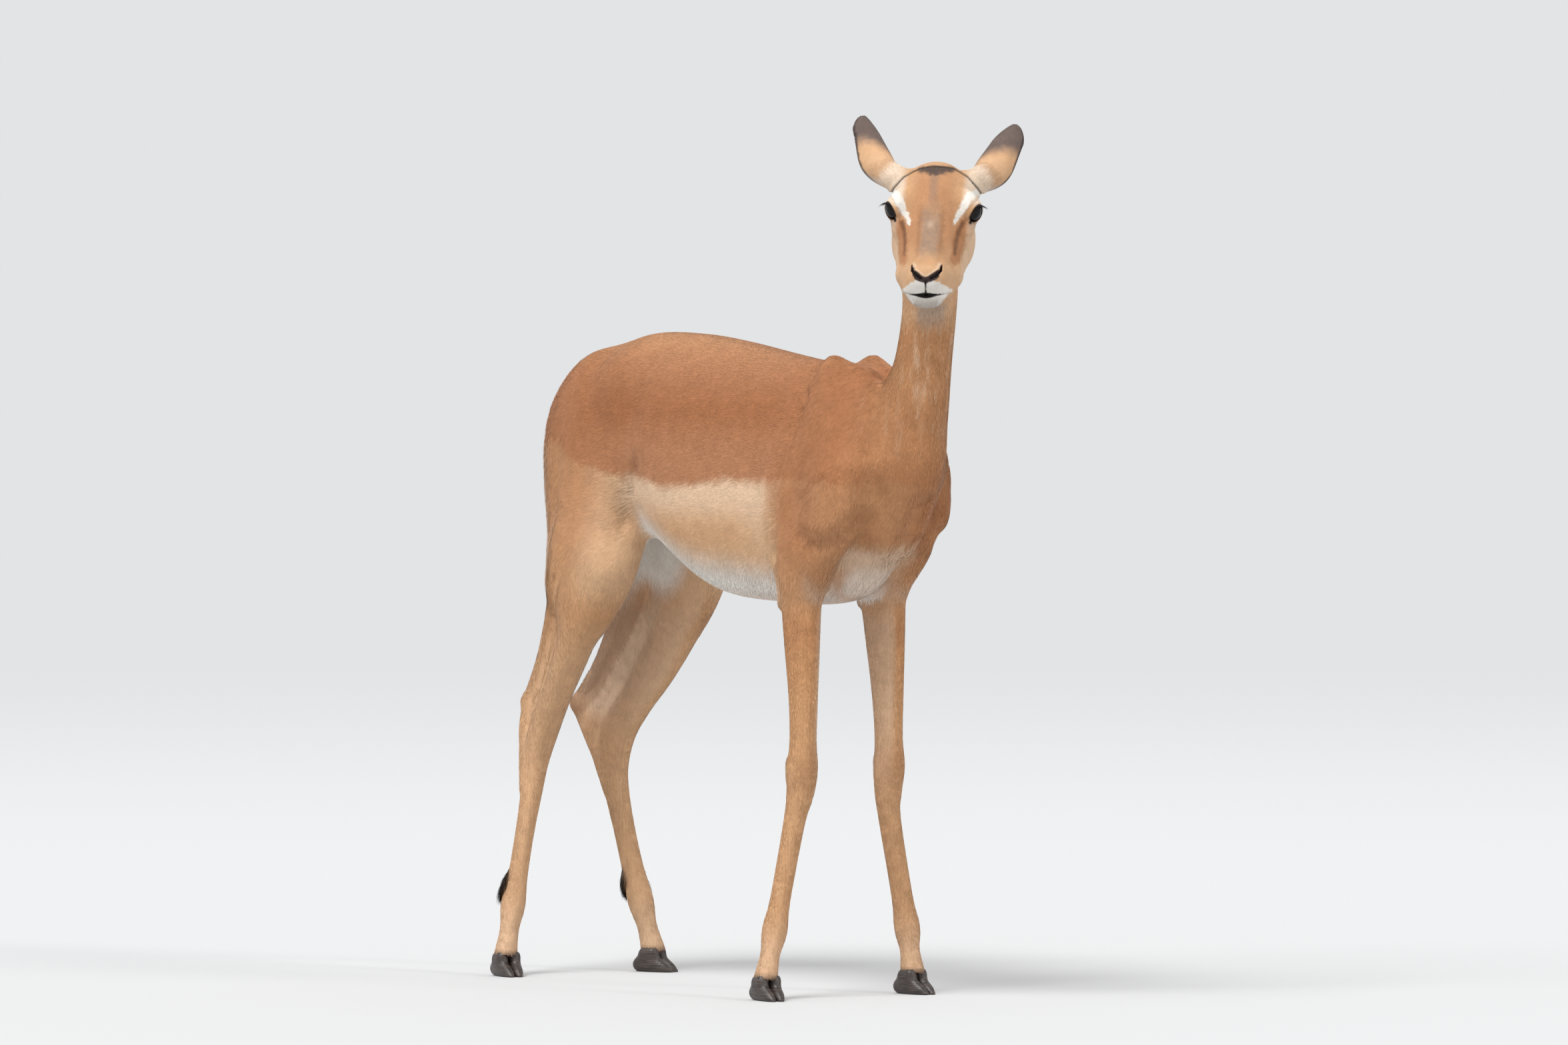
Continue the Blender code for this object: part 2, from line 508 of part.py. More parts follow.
# heights at which the legs are divided
FETLOCK_CUT, KNEE_CUT, ELBOW_CUT = 0.105, 0.296, 0.512
HOCK_CUT, STIFLE_CUT = 0.330, 0.530
CLAW_ROOM = (np.array((-0.045, -0.060, -0.020)), np.array((0.045, 0.050, 0.045)))
# planes, each a point and a normal: head from neck, and neck from trunk
THROAT = (at(0.437, 0, 0.985), at(0.50 * cos(HEAD_TURN), -0.50 * sin(HEAD_TURN), 0.85))
COLLAR = (at(0.343, 0, 0.838), at(0.772, 0, 0.635))

def make(name, points, faces):
    mesh = bpy.data.meshes.new(name)
    mesh.from_pydata([tuple(p) for p in points], [], [tuple(int(i) for i in f) for f in faces])
    obj = bpy.data.objects.new(name, mesh)
    bpy.context.scene.collection.objects.link(obj)
    return obj

def settled(obj):
    """Replaces an object's mesh by what its modifiers make of it."""
    graph = bpy.context.evaluated_depsgraph_get()
    mesh = bpy.data.meshes.new_from_object(obj.evaluated_get(graph))
    obj.modifiers.clear()
    obj.data = mesh
    return obj

def net(name, field, low, high, step, faces):
    """A closed, thinned mesh of the field's surface inside a box."""
    values = sample(field, low, high, step)
    for axis in range(3):
        for end in (0, -1):
            edge = [slice(None)] * 3
            edge[axis] = end
            values[tuple(edge)] = step
    points, quads = surface_net(filled(values), low, step)
    inner = ((points > np.array(low) + 2.5 * step) & (points < np.array(high) - 2.5 * step)).all(1)
    points[inner] = settle(field, points[inner], rounds=2)
    obj = make(name, points, quads)
    largest(obj)
    thin = obj.modifiers.new("thin", "DECIMATE")
    thin.ratio = faces / (2 * len(obj.data.polygons))
    return settled(obj)

def box(name, centre, axes, sizes):
    corners = [(x, y, z) for x in (-1, 1) for y in (-1, 1) for z in (-1, 1)]
    points = [np.asarray(centre) + (np.array(c) * np.array(sizes) / 2) @ np.asarray(axes) for c in corners]
    return make(name, points, ((0, 1, 3, 2), (4, 6, 7, 5), (0, 4, 5, 1), (2, 3, 7, 6), (0, 2, 6, 4),
                               (1, 5, 7, 3)))

def upright(name, low, high):
    low, high = np.array(low, float), np.array(high, float)
    return box(name, (low + high) / 2, np.eye(3), high - low)

def beyond(name, plane, gap):
    """A box that fills the far side of a plane."""
    point, normal = np.asarray(plane[0]), np.asarray(plane[1]) / np.linalg.norm(plane[1])
    axes = axes_of(np.cross(normal, at(1, 0, 0)), normal)
    return box(name, point + normal * (1 + gap / 2), axes, (2, 2, 2))

def cut(obj, cutter, how, keep=False):
    tool = obj.modifiers.new("cut", "BOOLEAN")
    tool.operation, tool.solver, tool.object = how, "EXACT", cutter
    settled(obj)
    if not keep:
        bpy.data.objects.remove(cutter)
    return obj

def copy(obj, name):
    twin = bpy.data.objects.new(name, obj.data.copy())
    bpy.context.scene.collection.objects.link(twin)
    return twin

def largest(obj):
    """Keeps the biggest connected piece of a mesh."""
    work = bmesh.new()
    work.from_mesh(obj.data)
    left, best = set(work.verts), []
    while left:
        piece, edge = [], [left.pop()]
        while edge:
            v = edge.pop()
            piece.append(v)
            for e in v.link_edges:
                w = e.other_vert(v)
                if w in left:
                    left.remove(w)
                    edge.append(w)
        if len(piece) > len(best):
            best = piece
    keep = set(best)
    bmesh.ops.delete(work, geom=[v for v in work.verts if v not in keep], context="VERTS")
    work.to_mesh(obj.data)
    work.free()
    return obj

def finish(obj, colour, roughness):
    """Triangles, one piece, in the model's place, with its own material."""
    work = bmesh.new()
    work.from_mesh(obj.data)
    bmesh.ops.remove_doubles(work, verts=work.verts, dist=2e-6)
    bmesh.ops.dissolve_degenerate(work, dist=2e-6, edges=work.edges)
    bmesh.ops.triangulate(work, faces=work.faces)
    bmesh.ops.translate(work, verts=work.verts, vec=PLACE)
    work.to_mesh(obj.data)
    work.free()
    largest(obj)
    obj.data.name = obj.name
    obj.data.materials.clear()
    paint = bpy.data.materials.new(obj.name)
    paint.use_nodes = True
    shader = paint.node_tree.nodes["Principled BSDF"]
    shader.inputs["Base Color"].default_value = (*colour, 1)
    shader.inputs["Roughness"].default_value = roughness
    obj.data.materials.append(paint)

TAN, RED, PALE, HORN, DARK = (0.50, 0.25, 0.10), (0.40, 0.16, 0.06), (0.72, 0.58, 0.42), (0.05, 0.035,
                                                                                          0.03), (0.008,
                                                                                                  0.006,
                                                                                                  0.006)

def build():
    for old in list(bpy.data.objects):
        bpy.data.objects.remove(old)
    body = net("body", whole(False), *BODY_ROOM, BODY_GRID, BODY_FACES)
    face = net("face", whole(), *HEAD_ROOM, HEAD_GRID, HEAD_FACES)

    # head, ears and eyes
    for side, name in ((1, "left"), (-1, "right")):
        root, axis, opening, across = ear_frame(side)
        middle = root + axis * (0.20 + 1.30) / 2 * EAR_LENGTH + opening * 0.012
        axes = np.array((across, opening, axis))
        size = np.array((0.090, 0.090, 1.10 * EAR_LENGTH))
        tool = box("part", middle, axes, size)
        ear_part = largest(cut(copy(face, "ear_" + name), tool, "INTERSECT"))
        finish(ear_part, RED, 0.9)
        cut(face, box("part", middle, axes, size + 2 * GAP), "DIFFERENCE")
        centre = in_head(*(np.array(EYE_SEAT) * (1, side, 1)))
        for radius, tag in ((EYE_RADIUS + GAP, "socket"), (EYE_RADIUS, "eye_" + name)):
            work = bmesh.new()
            bmesh.ops.create_uvsphere(work, u_segments=EYE_FACETS, v_segments=EYE_FACETS // 2 + 2,
                                      radius=radius)
            turn = axes_of(at(0, side, 0), at(1, 0, 0)) @ HEAD
            for v in work.verts:
                v.co = np.array(v.co) @ turn + centre
            mesh = bpy.data.meshes.new(tag)
            work.to_mesh(mesh)
            work.free()
            ball = bpy.data.objects.new(tag, mesh)
            bpy.context.scene.collection.objects.link(ball)
            if tag == "socket":
                cut(face, ball, "DIFFERENCE")
            else:
                finish(ball, DARK, 0.1)
    head = cut(face, beyond("past", THROAT, GAP), "INTERSECT")
    head.name = "head"
    finish(largest(head), RED, 0.9)

    # neck
    neck = cut(copy(body, "neck"), beyond("past", THROAT, -GAP), "DIFFERENCE")
    cut(neck, beyond("past", COLLAR, GAP), "INTERSECT")
    finish(largest(neck), TAN, 0.9)

    # tail
    low, high = TAIL_ROOM
    tail = cut(copy(body, "tail"), upright("part", low, high), "INTERSECT")
    finish(largest(tail), RED, 0.9)
    torso = cut(copy(body, "trunk"), beyond("past", COLLAR, -GAP), "DIFFERENCE")
    cut(torso, upright("part", np.array(low) - GAP, np.array(high) + GAP), "DIFFERENCE")

    # legs
    for side, name in ((1, "left"), (-1, "right")):
        wide = (0.012, 0.215) if side > 0 else (-0.215, -0.012)
        for kind, span, levels, parts in (("fore", (-0.360, -0.130),
                                           (CORONET, FETLOCK_CUT, KNEE_CUT, ELBOW_CUT),
                                           ("pastern", "cannon", "forearm")),
                                          ("hind", (0.110, 0.520),
                                           (CORONET, FETLOCK_CUT, HOCK_CUT, STIFLE_CUT),
                                           ("pastern", "cannon", "gaskin"))):
            for part, bottom, top in zip(parts, levels[:-1], levels[1:]):
                piece = copy(body, "%s_%s_%s" % (kind, name, part))
                cut(piece, upright("part", (wide[0], span[0], bottom + GAP / 2),
                                   (wide[1], span[1], top - GAP / 2)), "INTERSECT")
                finish(largest(piece), TAN, 0.9)
            cut(torso, upright("part", (wide[0] - GAP, span[0] - GAP, -0.1),
                               (wide[1] + GAP, span[1] + GAP, levels[-1] + GAP / 2)), "DIFFERENCE")
            _, toe, turn = foot(kind, side)
            for inner, where in ((side, "outer"), (-side, "inner")):
                hoof = net("%s_%s_claw_%s" % (kind, name, where), claw(toe, turn, inner),
                           toe + CLAW_ROOM[0], toe + CLAW_ROOM[1], CLAW_GRID, CLAW_FACES)
                cut(hoof, upright("part", (-1, -1, 0), (1, 1, CORONET - GAP / 2)), "INTERSECT")
                cut(hoof, beyond("past", (toe, inner * at(sin(turn), -cos(turn), 0)), -GAP), "DIFFERENCE")
                finish(largest(hoof), HORN, 0.5)
    finish(largest(torso), RED, 0.9)
    bpy.data.objects.remove(body)

build()
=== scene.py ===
import bpy
import bmesh
import numpy as np
from math import cos, pi, radians, sin
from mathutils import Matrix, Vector


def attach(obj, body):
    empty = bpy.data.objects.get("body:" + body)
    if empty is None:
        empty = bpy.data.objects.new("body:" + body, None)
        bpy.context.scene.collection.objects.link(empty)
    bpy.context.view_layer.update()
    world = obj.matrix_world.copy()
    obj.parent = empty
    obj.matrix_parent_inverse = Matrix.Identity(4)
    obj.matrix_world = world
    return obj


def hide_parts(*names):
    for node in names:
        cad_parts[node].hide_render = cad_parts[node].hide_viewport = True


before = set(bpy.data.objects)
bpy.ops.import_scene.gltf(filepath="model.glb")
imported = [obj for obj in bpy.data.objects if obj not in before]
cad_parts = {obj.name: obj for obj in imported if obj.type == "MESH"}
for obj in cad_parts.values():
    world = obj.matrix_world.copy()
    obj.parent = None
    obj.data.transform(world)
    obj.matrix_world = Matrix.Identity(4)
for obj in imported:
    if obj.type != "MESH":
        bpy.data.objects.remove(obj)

def at(forward, left, up):
    """A point of the model's frame: it faces -Y, its left is +X, and +Z is up."""
    return np.array((left, -forward, up), float)

# ---- sizes, in metres and radians ------------------------------------------
PLACE = (-0.0025, 0.0635, 0.0)                 # brings the middle of the bounding box over the origin
HEAD_TURN, HEAD_NOD, HEAD_TILT = radians(40), radians(32), radians(2)
EYE_MIDPOINT = at(0.478, -0.0217, 1.0665)
EYE_RADIUS = 0.017
EYE_SEAT = (0.001, 0.0468, 0.001)              # forward, outward and up from between the eyes
EAR_LENGTH, EAR_HALF_WIDTH, EAR_THICKNESS = 0.138, 0.0245, 0.0052
EAR_ROOT, EAR_STEM = (-0.06, 0.053, 0.01), (-0.05, 0.036, 0.0)
# for the left (1) and right (-1) ear: forward, outward and up of its length and of its opening
EAR_WAY = {1: (-0.74, 0.325, 0.53), -1: (-0.7, 0.385, 0.615)}
EAR_OPENING = {1: (-1.0, 0.25, -0.2), -1: (-0.8, 0.62, -0.2)}

# the trunk: forward, top, bottom, half width, how low the widest part lies
TRUNK = ((0.345, 0.82, 0.59, 0.04, 0.12), (0.29, 0.853, 0.548, 0.056, 0.14),
         (0.22, 0.86, 0.532, 0.076, 0.14), (0.12, 0.872, 0.532, 0.094, 0.12),
         (0.0, 0.888, 0.541, 0.106, 0.1), (-0.1, 0.897, 0.585, 0.106, 0.02),
         (-0.2, 0.896, 0.64, 0.092, -0.04), (-0.28, 0.866, 0.66, 0.08, -0.04),
         (-0.34, 0.822, 0.68, 0.062, 0.0))
# the face: ahead of the eyes, top, bottom, half width, how low the widest part lies
FACE = ((-0.06, 0.018, -0.07, 0.041, 0.0), (-0.02, 0.031, -0.086, 0.0485, 0.12),
        (0.02, 0.026, -0.088, 0.0495, 0.22), (0.06, 0.0165, -0.08, 0.045, 0.26),
        (0.1, 0.009, -0.07, 0.0388, 0.27), (0.135, 0.0055, -0.062, 0.0335, 0.2),
        (0.155, 0.003, -0.054, 0.028, 0.1))

# the other tables hold, from one end to the other: forward, outward, up, half width, half depth
NECK = ((0.328, 0, 0.69, 0.052, 0.076), (0.376, 0, 0.728, 0.049, 0.071), (0.395, 0, 0.78, 0.0445, 0.0615),
        (0.41, 0, 0.818, 0.04, 0.0535), (0.4245, 0, 0.862, 0.037, 0.044), (0.4385, 0, 0.935, 0.0358, 0.04),
        (0.4385, 0.0, 1.0, 0.0375, 0.0445), (0.434, 0.006, 1.045, 0.038, 0.045))
TAIL = ((-0.372, 0, 0.818, 0.024, 0.026), (-0.406, 0.001, 0.8, 0.018, 0.018),
        (-0.43, 0.002, 0.765, 0.016, 0.013), (-0.438, 0.003, 0.69, 0.014, 0.011),
        (-0.441, 0.004, 0.61, 0.014, 0.011), (-0.441, 0.005, 0.54, 0.016, 0.012),
        (-0.438, 0.006, 0.49, 0.01, 0.008), (-0.436, 0.006, 0.472, 0.004, 0.004))
THIGH = ((-0.274, 0.044, 0.786, 0.038, 0.086), (-0.272, 0.051, 0.75, 0.042, 0.11),
         (-0.266, 0.056, 0.705, 0.043, 0.122), (-0.26, 0.062, 0.655, 0.041, 0.115),
         (-0.256, 0.072, 0.605, 0.037, 0.099), (-0.264, 0.08, 0.555, 0.031, 0.076))
BLADE = ((0.262, 0.03, 0.85, 0.013, 0.026), (0.27, 0.048, 0.805, 0.018, 0.042),
         (0.288, 0.064, 0.75, 0.023, 0.05), (0.312, 0.074, 0.7, 0.027, 0.048))
SHOULDER = ((0.335, 0.066, 0.69, 0.03, 0.04), (0.322, 0.074, 0.655, 0.031, 0.044),
            (0.285, 0.074, 0.615, 0.03, 0.042), (0.248, 0.07, 0.575, 0.029, 0.042))
YOKE = ((0.3, 0.022, 0.822, 0.024, 0.04), (0.34, 0.034, 0.768, 0.032, 0.05),
        (0.362, 0.044, 0.715, 0.034, 0.046))
ELBOW = ((0.198, 0.066, 0.58, 0.015, 0.018), (0.206, 0.067, 0.535, 0.016, 0.022))
KNEE_BACK = ((0.228, 0.073, 0.318, 0.0125, 0.012), (0.226, 0.073, 0.298, 0.011, 0.011))
FORE_LEG = ((0.236, 0.06, 0.605, 0.034, 0.044), (0.236, 0.067, 0.548, 0.027, 0.039),
            (0.24, 0.069, 0.48, 0.0235, 0.032), (0.244, 0.07, 0.41, 0.0195, 0.0255),
            (0.245, 0.071, 0.35, 0.0185, 0.0215), (0.245, 0.072, 0.312, 0.0215, 0.0225),
            (0.241, 0.073, 0.278, 0.0195, 0.0195), (0.236, 0.079, 0.24, 0.015, 0.017))
HIND_LEG = {
    1: ((-0.24, 0.084, 0.56, 0.032, 0.047), (-0.28, 0.085, 0.492, 0.028, 0.038),
        (-0.322, 0.078, 0.428, 0.0225, 0.031), (-0.36, 0.07, 0.382, 0.02, 0.027),
        (-0.39, 0.062, 0.342, 0.0205, 0.0275), (-0.404, 0.06, 0.3, 0.0185, 0.0255),
        (-0.403, 0.064, 0.258, 0.0155, 0.0195), (-0.393, 0.072, 0.195, 0.0138, 0.0165),
        (-0.381, 0.079, 0.138, 0.0145, 0.017)),
    -1: ((-0.219, 0.088, 0.575, 0.032, 0.048), (-0.254, 0.09, 0.512, 0.029, 0.042),
         (-0.292, 0.085, 0.455, 0.0235, 0.033), (-0.338, 0.077, 0.4, 0.0205, 0.0265),
         (-0.382, 0.069, 0.35, 0.0205, 0.027), (-0.404, 0.07, 0.304, 0.0185, 0.026),
         (-0.402, 0.078, 0.262, 0.0155, 0.0195), (-0.401, 0.091, 0.2, 0.0135, 0.016),
         (-0.404, 0.101, 0.138, 0.014, 0.0165))}
# single lumps: forward, outward, up, then the radii across, along and up
HIP = (-0.16, 0.064, 0.82, 0.026, 0.055, 0.046)
UPPER_ARM = (0.226, 0.064, 0.665, 0.031, 0.06, 0.098)
# the skull, measured from between the eyes: lumps on the middle line and on each side
SKULL_MIDDLE = ((-0.05, 0, -0.004, 0.044, 0.05, 0.037), (-0.012, 0, 0.01, 0.048, 0.036, 0.022),
                (0.142, 0, -0.014, 0.026, 0.027, 0.0195), (0.132, 0, -0.05, 0.0245, 0.024, 0.0145))
SKULL_SIDE = ((-0.002, 0.046, 0.002, 0.015, 0.024, 0.0215), (0.006, 0.036, -0.042, 0.018, 0.034, 0.032),
              (-0.034, 0.034, -0.066, 0.013, 0.024, 0.026))
# rods of the skull: forward, outward, up and radius of one end, and of the other
NAPE_ROD = ((-0.066, 0, -0.036, 0.036), (-0.035, 0, -0.06, 0.034))
CHEEK_ROD = ((0.028, 0.046, -0.016, 0.0085), (-0.05, 0.044, -0.012, 0.0085))
LIP_ROD = ((0.125, 0.02, -0.03, 0.0125), (0.095, 0.03, -0.044, 0.0125))
# how softly parts run into each other
TRUNK_BLEND, SHOULDER_BLEND, LEG_BLEND, HOCK_BLEND, SKULL_BLEND = 0.038, 0.03, 0.01, 0.012, 0.012
NECK_JOIN, SHOULDER_JOIN, ELBOW_JOIN, HIP_JOIN = 0.04, 0.024, 0.014, 0.03
HEAD_JOIN, EAR_JOIN, TAIL_JOIN = 0.016, 0.01, 0.01
# forward, outward and up of the point of each hock, and of where its tendon leaves the thigh
HEEL = {1: (-0.454, 0.035, 0.376), -1: (-0.44, 0.058, 0.38)}
CORD = {1: (-0.318, 0.068, 0.575), -1: (-0.3, 0.078, 0.59)}
# forward, outward and up of each fetlock; forward and outward of each foot; how far its toes turn out
FETLOCK = {("fore", 1): (0.225, 0.116, 0.09), ("fore", -1): (0.221, 0.101, 0.093),
           ("hind", 1): (-0.371, 0.084, 0.098), ("hind", -1): (-0.407, 0.107, 0.098)}
TOE = {("fore", 1): (0.24, 0.118), ("fore", -1): (0.238, 0.124), ("hind", 1): (-0.35, 0.094),
       ("hind", -1): (-0.386, 0.13)}
TOE_OUT = {("fore", 1): radians(6), ("fore", -1): radians(10), ("hind", 1): radians(22),
           ("hind", -1): radians(12)}
CORONET = 0.03                                 # where hoof meets hair, above the floor
CLAW_APART = 0.0094                            # from the middle of a foot to the middle of each claw

# ---- shapes as distance fields ----------------------------------------------
BEYOND = 9.0                                   # farther than any point of a grid

def length(v):
    """The length of each row."""
    return np.sqrt(np.einsum("ij,ij->i", v, v))

def blob(centre, radii):
    """An ellipsoid with radii to the left, back and up."""
    centre, radii = np.asarray(centre, np.float32), np.asarray(radii, np.float32)
    def distance(p):
        q = p - centre
        near = length(q / radii)
        steep = length(q / radii ** 2)
        return near * (near - 1) / np.maximum(steep, 1e-6)
    return distance

def limb(start, end, start_radius, end_radius):
    """A tapering rod from start to end."""
    start = np.asarray(start, np.float32)
    line = np.asarray(end, np.float32) - start
    def distance(p):
        q = p - start
        t = np.clip(q @ line / (line @ line), 0, 1)
        return length(q - t[:, None] * line) - (start_radius + (end_radius - start_radius) * t)
    return distance

def smooth_union(a, b, blend):
    h = np.clip(0.5 + 0.5 * (b - a) / blend, 0, 1)
    return b + (a - b) * h - blend * h * (1 - h)

def smooth_cut(a, b, blend):
    return -smooth_union(-a, b, blend)

def axes_of(forward, up):
    """Rows: left, back and up of a frame that faces forward."""
    forward = np.asarray(forward, float)
    forward = forward / np.linalg.norm(forward)
    up = np.asarray(up, float) - (np.asarray(up, float) @ forward) * forward
    up /= np.linalg.norm(up)
    return np.array((np.cross(up, forward), -forward, up))

JUST_INSIDE = -1e-5                            # the value given to a closed corner

def filled(values):
    """Closes the grid corners at which a surface would touch itself, so that the mesh is a clean skin."""
    values = values.copy()
    full = [slice(None)] * 3
    def part(offsets, axes):
        index = list(full)
        for axis, offset in zip(axes, offsets):
            index[axis] = slice(offset, values.shape[axis] - 1 + offset)
        return tuple(index)
    for _ in range(20):
        before = int((values < 0).sum())
        for axes in ((0, 1), (0, 2), (1, 2)):
            a, b, c, d = (part(o, axes) for o in ((0, 0), (1, 1), (1, 0), (0, 1)))
            ia, ib, ic, id_ = (values[k] < 0 for k in (a, b, c, d))
            values[c] = np.where(ia & ib & ~ic & ~id_, JUST_INSIDE, values[c])
            values[a] = np.where(ic & id_ & ~ia & ~ib, JUST_INSIDE, values[a])
        count = sum((values[part(o, (0, 1, 2))] < 0).astype(np.int8) for o in np.ndindex(2, 2, 2))
        for o in ((0, 0, 0), (1, 0, 0), (0, 1, 0), (0, 0, 1)):
            far = tuple(1 - k for k in o)
            here, there = part(o, (0, 1, 2)), part(far, (0, 1, 2))
            pair = (values[here] < 0) & (values[there] < 0) & (count == 2)
            hole = (values[here] >= 0) & (values[there] >= 0) & (count == 6)
            for k in ((far[0], o[1], o[2]), (far[0], far[1], o[2])):
                values[part(k, (0, 1, 2))] = np.where(pair, JUST_INSIDE, values[part(k, (0, 1, 2))])
            values[here] = np.where(hole, JUST_INSIDE, values[here])
        if int((values < 0).sum()) == before:
            break
    return values

def surface_net(values):
    """(points, quads) of a grid's zero surface, in grid steps: one point in each cell that it crosses."""
    inside = values < 0
    corners = [inside[i:values.shape[0] - 1 + i, j:values.shape[1] - 1 + j, k:values.shape[2] - 1 + k]
               for i in (0, 1) for j in (0, 1) for k in (0, 1)]
    count = np.zeros(corners[0].shape, np.int8)
    for c in corners:
        count += c
    cells = np.argwhere((count > 0) & (count < 8))
    number = np.full(count.shape, -1, np.int32)
    number[tuple(cells.T)] = np.arange(len(cells))
    total, hits = np.zeros((len(cells), 3)), np.zeros(len(cells))
    for axis in range(3):
        others = [a for a in range(3) if a != axis]
        for da in (0, 1):
            for db in (0, 1):
                first = cells.copy()
                first[:, others[0]] += da
                first[:, others[1]] += db
                second = first.copy()
                second[:, axis] += 1
                va, vb = values[tuple(first.T)], values[tuple(second.T)]
                cross = (va < 0) != (vb < 0)
                t = np.where(cross, va / np.where(cross, va - vb, 1), 0)
                point = first.astype(float)
                point[:, axis] += t
                total += point * cross[:, None]
                hits += cross
    points = total / hits[:, None]
    quads = []
    for axis in range(3):
        b, c = (axis + 1) % 3, (axis + 2) % 3
        lower = np.take(inside, range(values.shape[axis] - 1), axis)
        upper = np.take(inside, range(1, values.shape[axis]), axis)
        edge = np.argwhere(lower != upper)
        edge = edge[(edge[:, b] > 0) & (edge[:, b] < values.shape[b] - 1)]
        edge = edge[(edge[:, c] > 0) & (edge[:, c] < values.shape[c] - 1)]
        leaving = lower[tuple(edge.T)]
        ring = []
        for db, dc in ((1, 1), (0, 1), (0, 0), (1, 0)):
            cell = edge.copy()
            cell[:, b] -= db
            cell[:, c] -= dc
            ring.append(number[tuple(cell.T)])
        ring = np.stack(ring, 1)
        ring[~leaving] = ring[~leaving][:, ::-1]
        quads.append(ring)
    return points, np.concatenate(quads)

def slope(field, p, step=4e-4):
    """How the field changes at each point, to the left, back and up."""
    g = np.empty((len(p), 3))
    for i in range(3):
        d = np.zeros(3)
        d[i] = step
        g[:, i] = (field((p + d).astype(np.float32)) - field((p - d).astype(np.float32))) / (2 * step)
    return g

def settle(field, p, rounds, most=0.004):
    """Moves points onto the field's zero surface, by at most so much in each round."""
    for _ in range(rounds):
        value = field(p.astype(np.float32))
        g = slope(field, p)
        move = value[:, None] * g / np.maximum((g * g).sum(1), 0.05)[:, None]
        size = np.linalg.norm(move, axis=1)
        move *= np.minimum(1, most / np.maximum(size, 1e-9))[:, None]
        p = p - move
    return p

def smooth_table(rows, count):
    """Rows of numbers run through a soft curve, count steps between each pair."""
    rows = np.array(rows, float)
    ends = np.vstack((2 * rows[0] - rows[1], rows, 2 * rows[-1] - rows[-2]))
    out = []
    for i in range(1, len(rows)):
        a, b, c, d = ends[i - 1], ends[i], ends[i + 1], ends[i + 2]
        for t in np.arange(count) / count:
            bend = (2 * a - 5 * b + 4 * c - d) * t ** 2 + (3 * b - a - 3 * c + d) * t ** 3
            out.append(b + 0.5 * ((c - a) * t + bend))
    out.append(rows[-1])
    return np.array(out)

def sweep(stations, across=(1, 0, 0), steps=4, reach=0.075, cap=None):
    """A rounded bar through stations: (point, half width along across, half depth)."""
    rows = smooth_table([list(p) + [w, d] for p, w, d in stations], steps)
    points, wide, deep = rows[:, :3], rows[:, 3], rows[:, 4]
    across = np.asarray(across, float) / np.linalg.norm(across)
    low = (points - rows[:, 3:].max(1)[:, None]).min(0) - reach
    high = (points + rows[:, 3:].max(1)[:, None]).max(0) + reach
    def distance(p):
        out = np.maximum(low - p, p - high).max(1) + reach
        near = np.flatnonzero(out < reach)
        if len(near) == 0:
            return out
        q = p[near]
        best = np.full(len(q), BEYOND, np.float32)
        for i in range(len(points) - 1):
            line = points[i + 1] - points[i]
            size = line @ line
            r = q - points[i].astype(np.float32)
            along = r @ line.astype(np.float32) / size
            t = np.clip(along, 0, 1)
            off = r - t[:, None] * line.astype(np.float32)
            w = wide[i] + (wide[i + 1] - wide[i]) * t
            d = deep[i] + (deep[i + 1] - deep[i]) * t
            x = off @ across.astype(np.float32)
            end = (along - t) ** 2 * size
            rest = np.maximum(np.einsum("ij,ij->i", off, off) - x * x - end, 0)
            c = d
            if cap and i == 0:
                c = np.where(along < 0, cap, c)
            if cap and i == len(points) - 2:
                c = np.where(along > 1, cap, c)
            k = np.sqrt(x * x / w ** 2 + rest / d ** 2 + end / c ** 2)
            g = np.sqrt(x * x / w ** 4 + rest / d ** 4 + end / c ** 4)
            best = np.minimum(best, np.where(k > 1e-3, k * (k - 1) / np.maximum(g, 1e-3), -np.minimum(w, d)))
        out[near] = np.minimum(best, reach + 0.05)
        return out
    return distance

def barrel(stations, power=2.3, front_cap=0.06, back_cap=0.05):
    """A trunk or a face, from rows of forward, top, bottom, half width and how low the widest part lies."""
    rows = smooth_table(sorted(stations), 8)
    f = rows[:, 0]
    def distance(p):
        ahead = -p[:, 1]
        at_f = np.clip(ahead, f[0], f[-1])
        top, bottom, half, sag = (np.interp(at_f, f, rows[:, i]) for i in (1, 2, 3, 4))
        over = np.where(ahead > f[-1], (ahead - f[-1]) / front_cap, (ahead - f[0]) / back_cap)
        over = np.where((ahead > f[-1]) | (ahead < f[0]), np.abs(over), 0)
        middle, tall = (top + bottom) / 2, (top - bottom) / 2
        y = (p[:, 2] - middle) / tall
        half = half * (1 - sag * np.clip(y, -1, 1))
        x, y = np.abs(p[:, 0]) / half, np.abs(y)
        k = np.maximum((x ** power + y ** power + over ** power) ** (1 / power), 1e-3)
        cap = np.where(ahead > 0, front_cap, back_cap)
        steep = [(v ** (power - 1) / size) ** 2 for v, size in ((x, half), (y, tall), (over, cap))]
        g = np.sqrt(sum(steep))
        return (k - 1) * k ** (power - 1) / np.maximum(g, 1.5)
    return distance

# ---- the animal ------------------------------------------------------------
def head_axes():
    face = at(cos(HEAD_NOD) * cos(HEAD_TURN), -cos(HEAD_NOD) * sin(HEAD_TURN), -sin(HEAD_NOD))
    side = at(sin(HEAD_TURN), cos(HEAD_TURN), 0)
    crown = np.cross(side, -face)
    return axes_of(face, crown * cos(HEAD_TILT) + side * sin(HEAD_TILT))

HEAD = head_axes()
LEVEL_HEAD = axes_of(at(cos(HEAD_TURN), -sin(HEAD_TURN), 0), at(0, 0, 1))

def in_head(forward, left, up):
    return EYE_MIDPOINT + at(forward, left, up) @ HEAD

def to_head(p):
    """Points in the head's frame: left, back and up from between the eyes."""
    return (p - EYE_MIDPOINT.astype(np.float32)) @ HEAD.T.astype(np.float32)

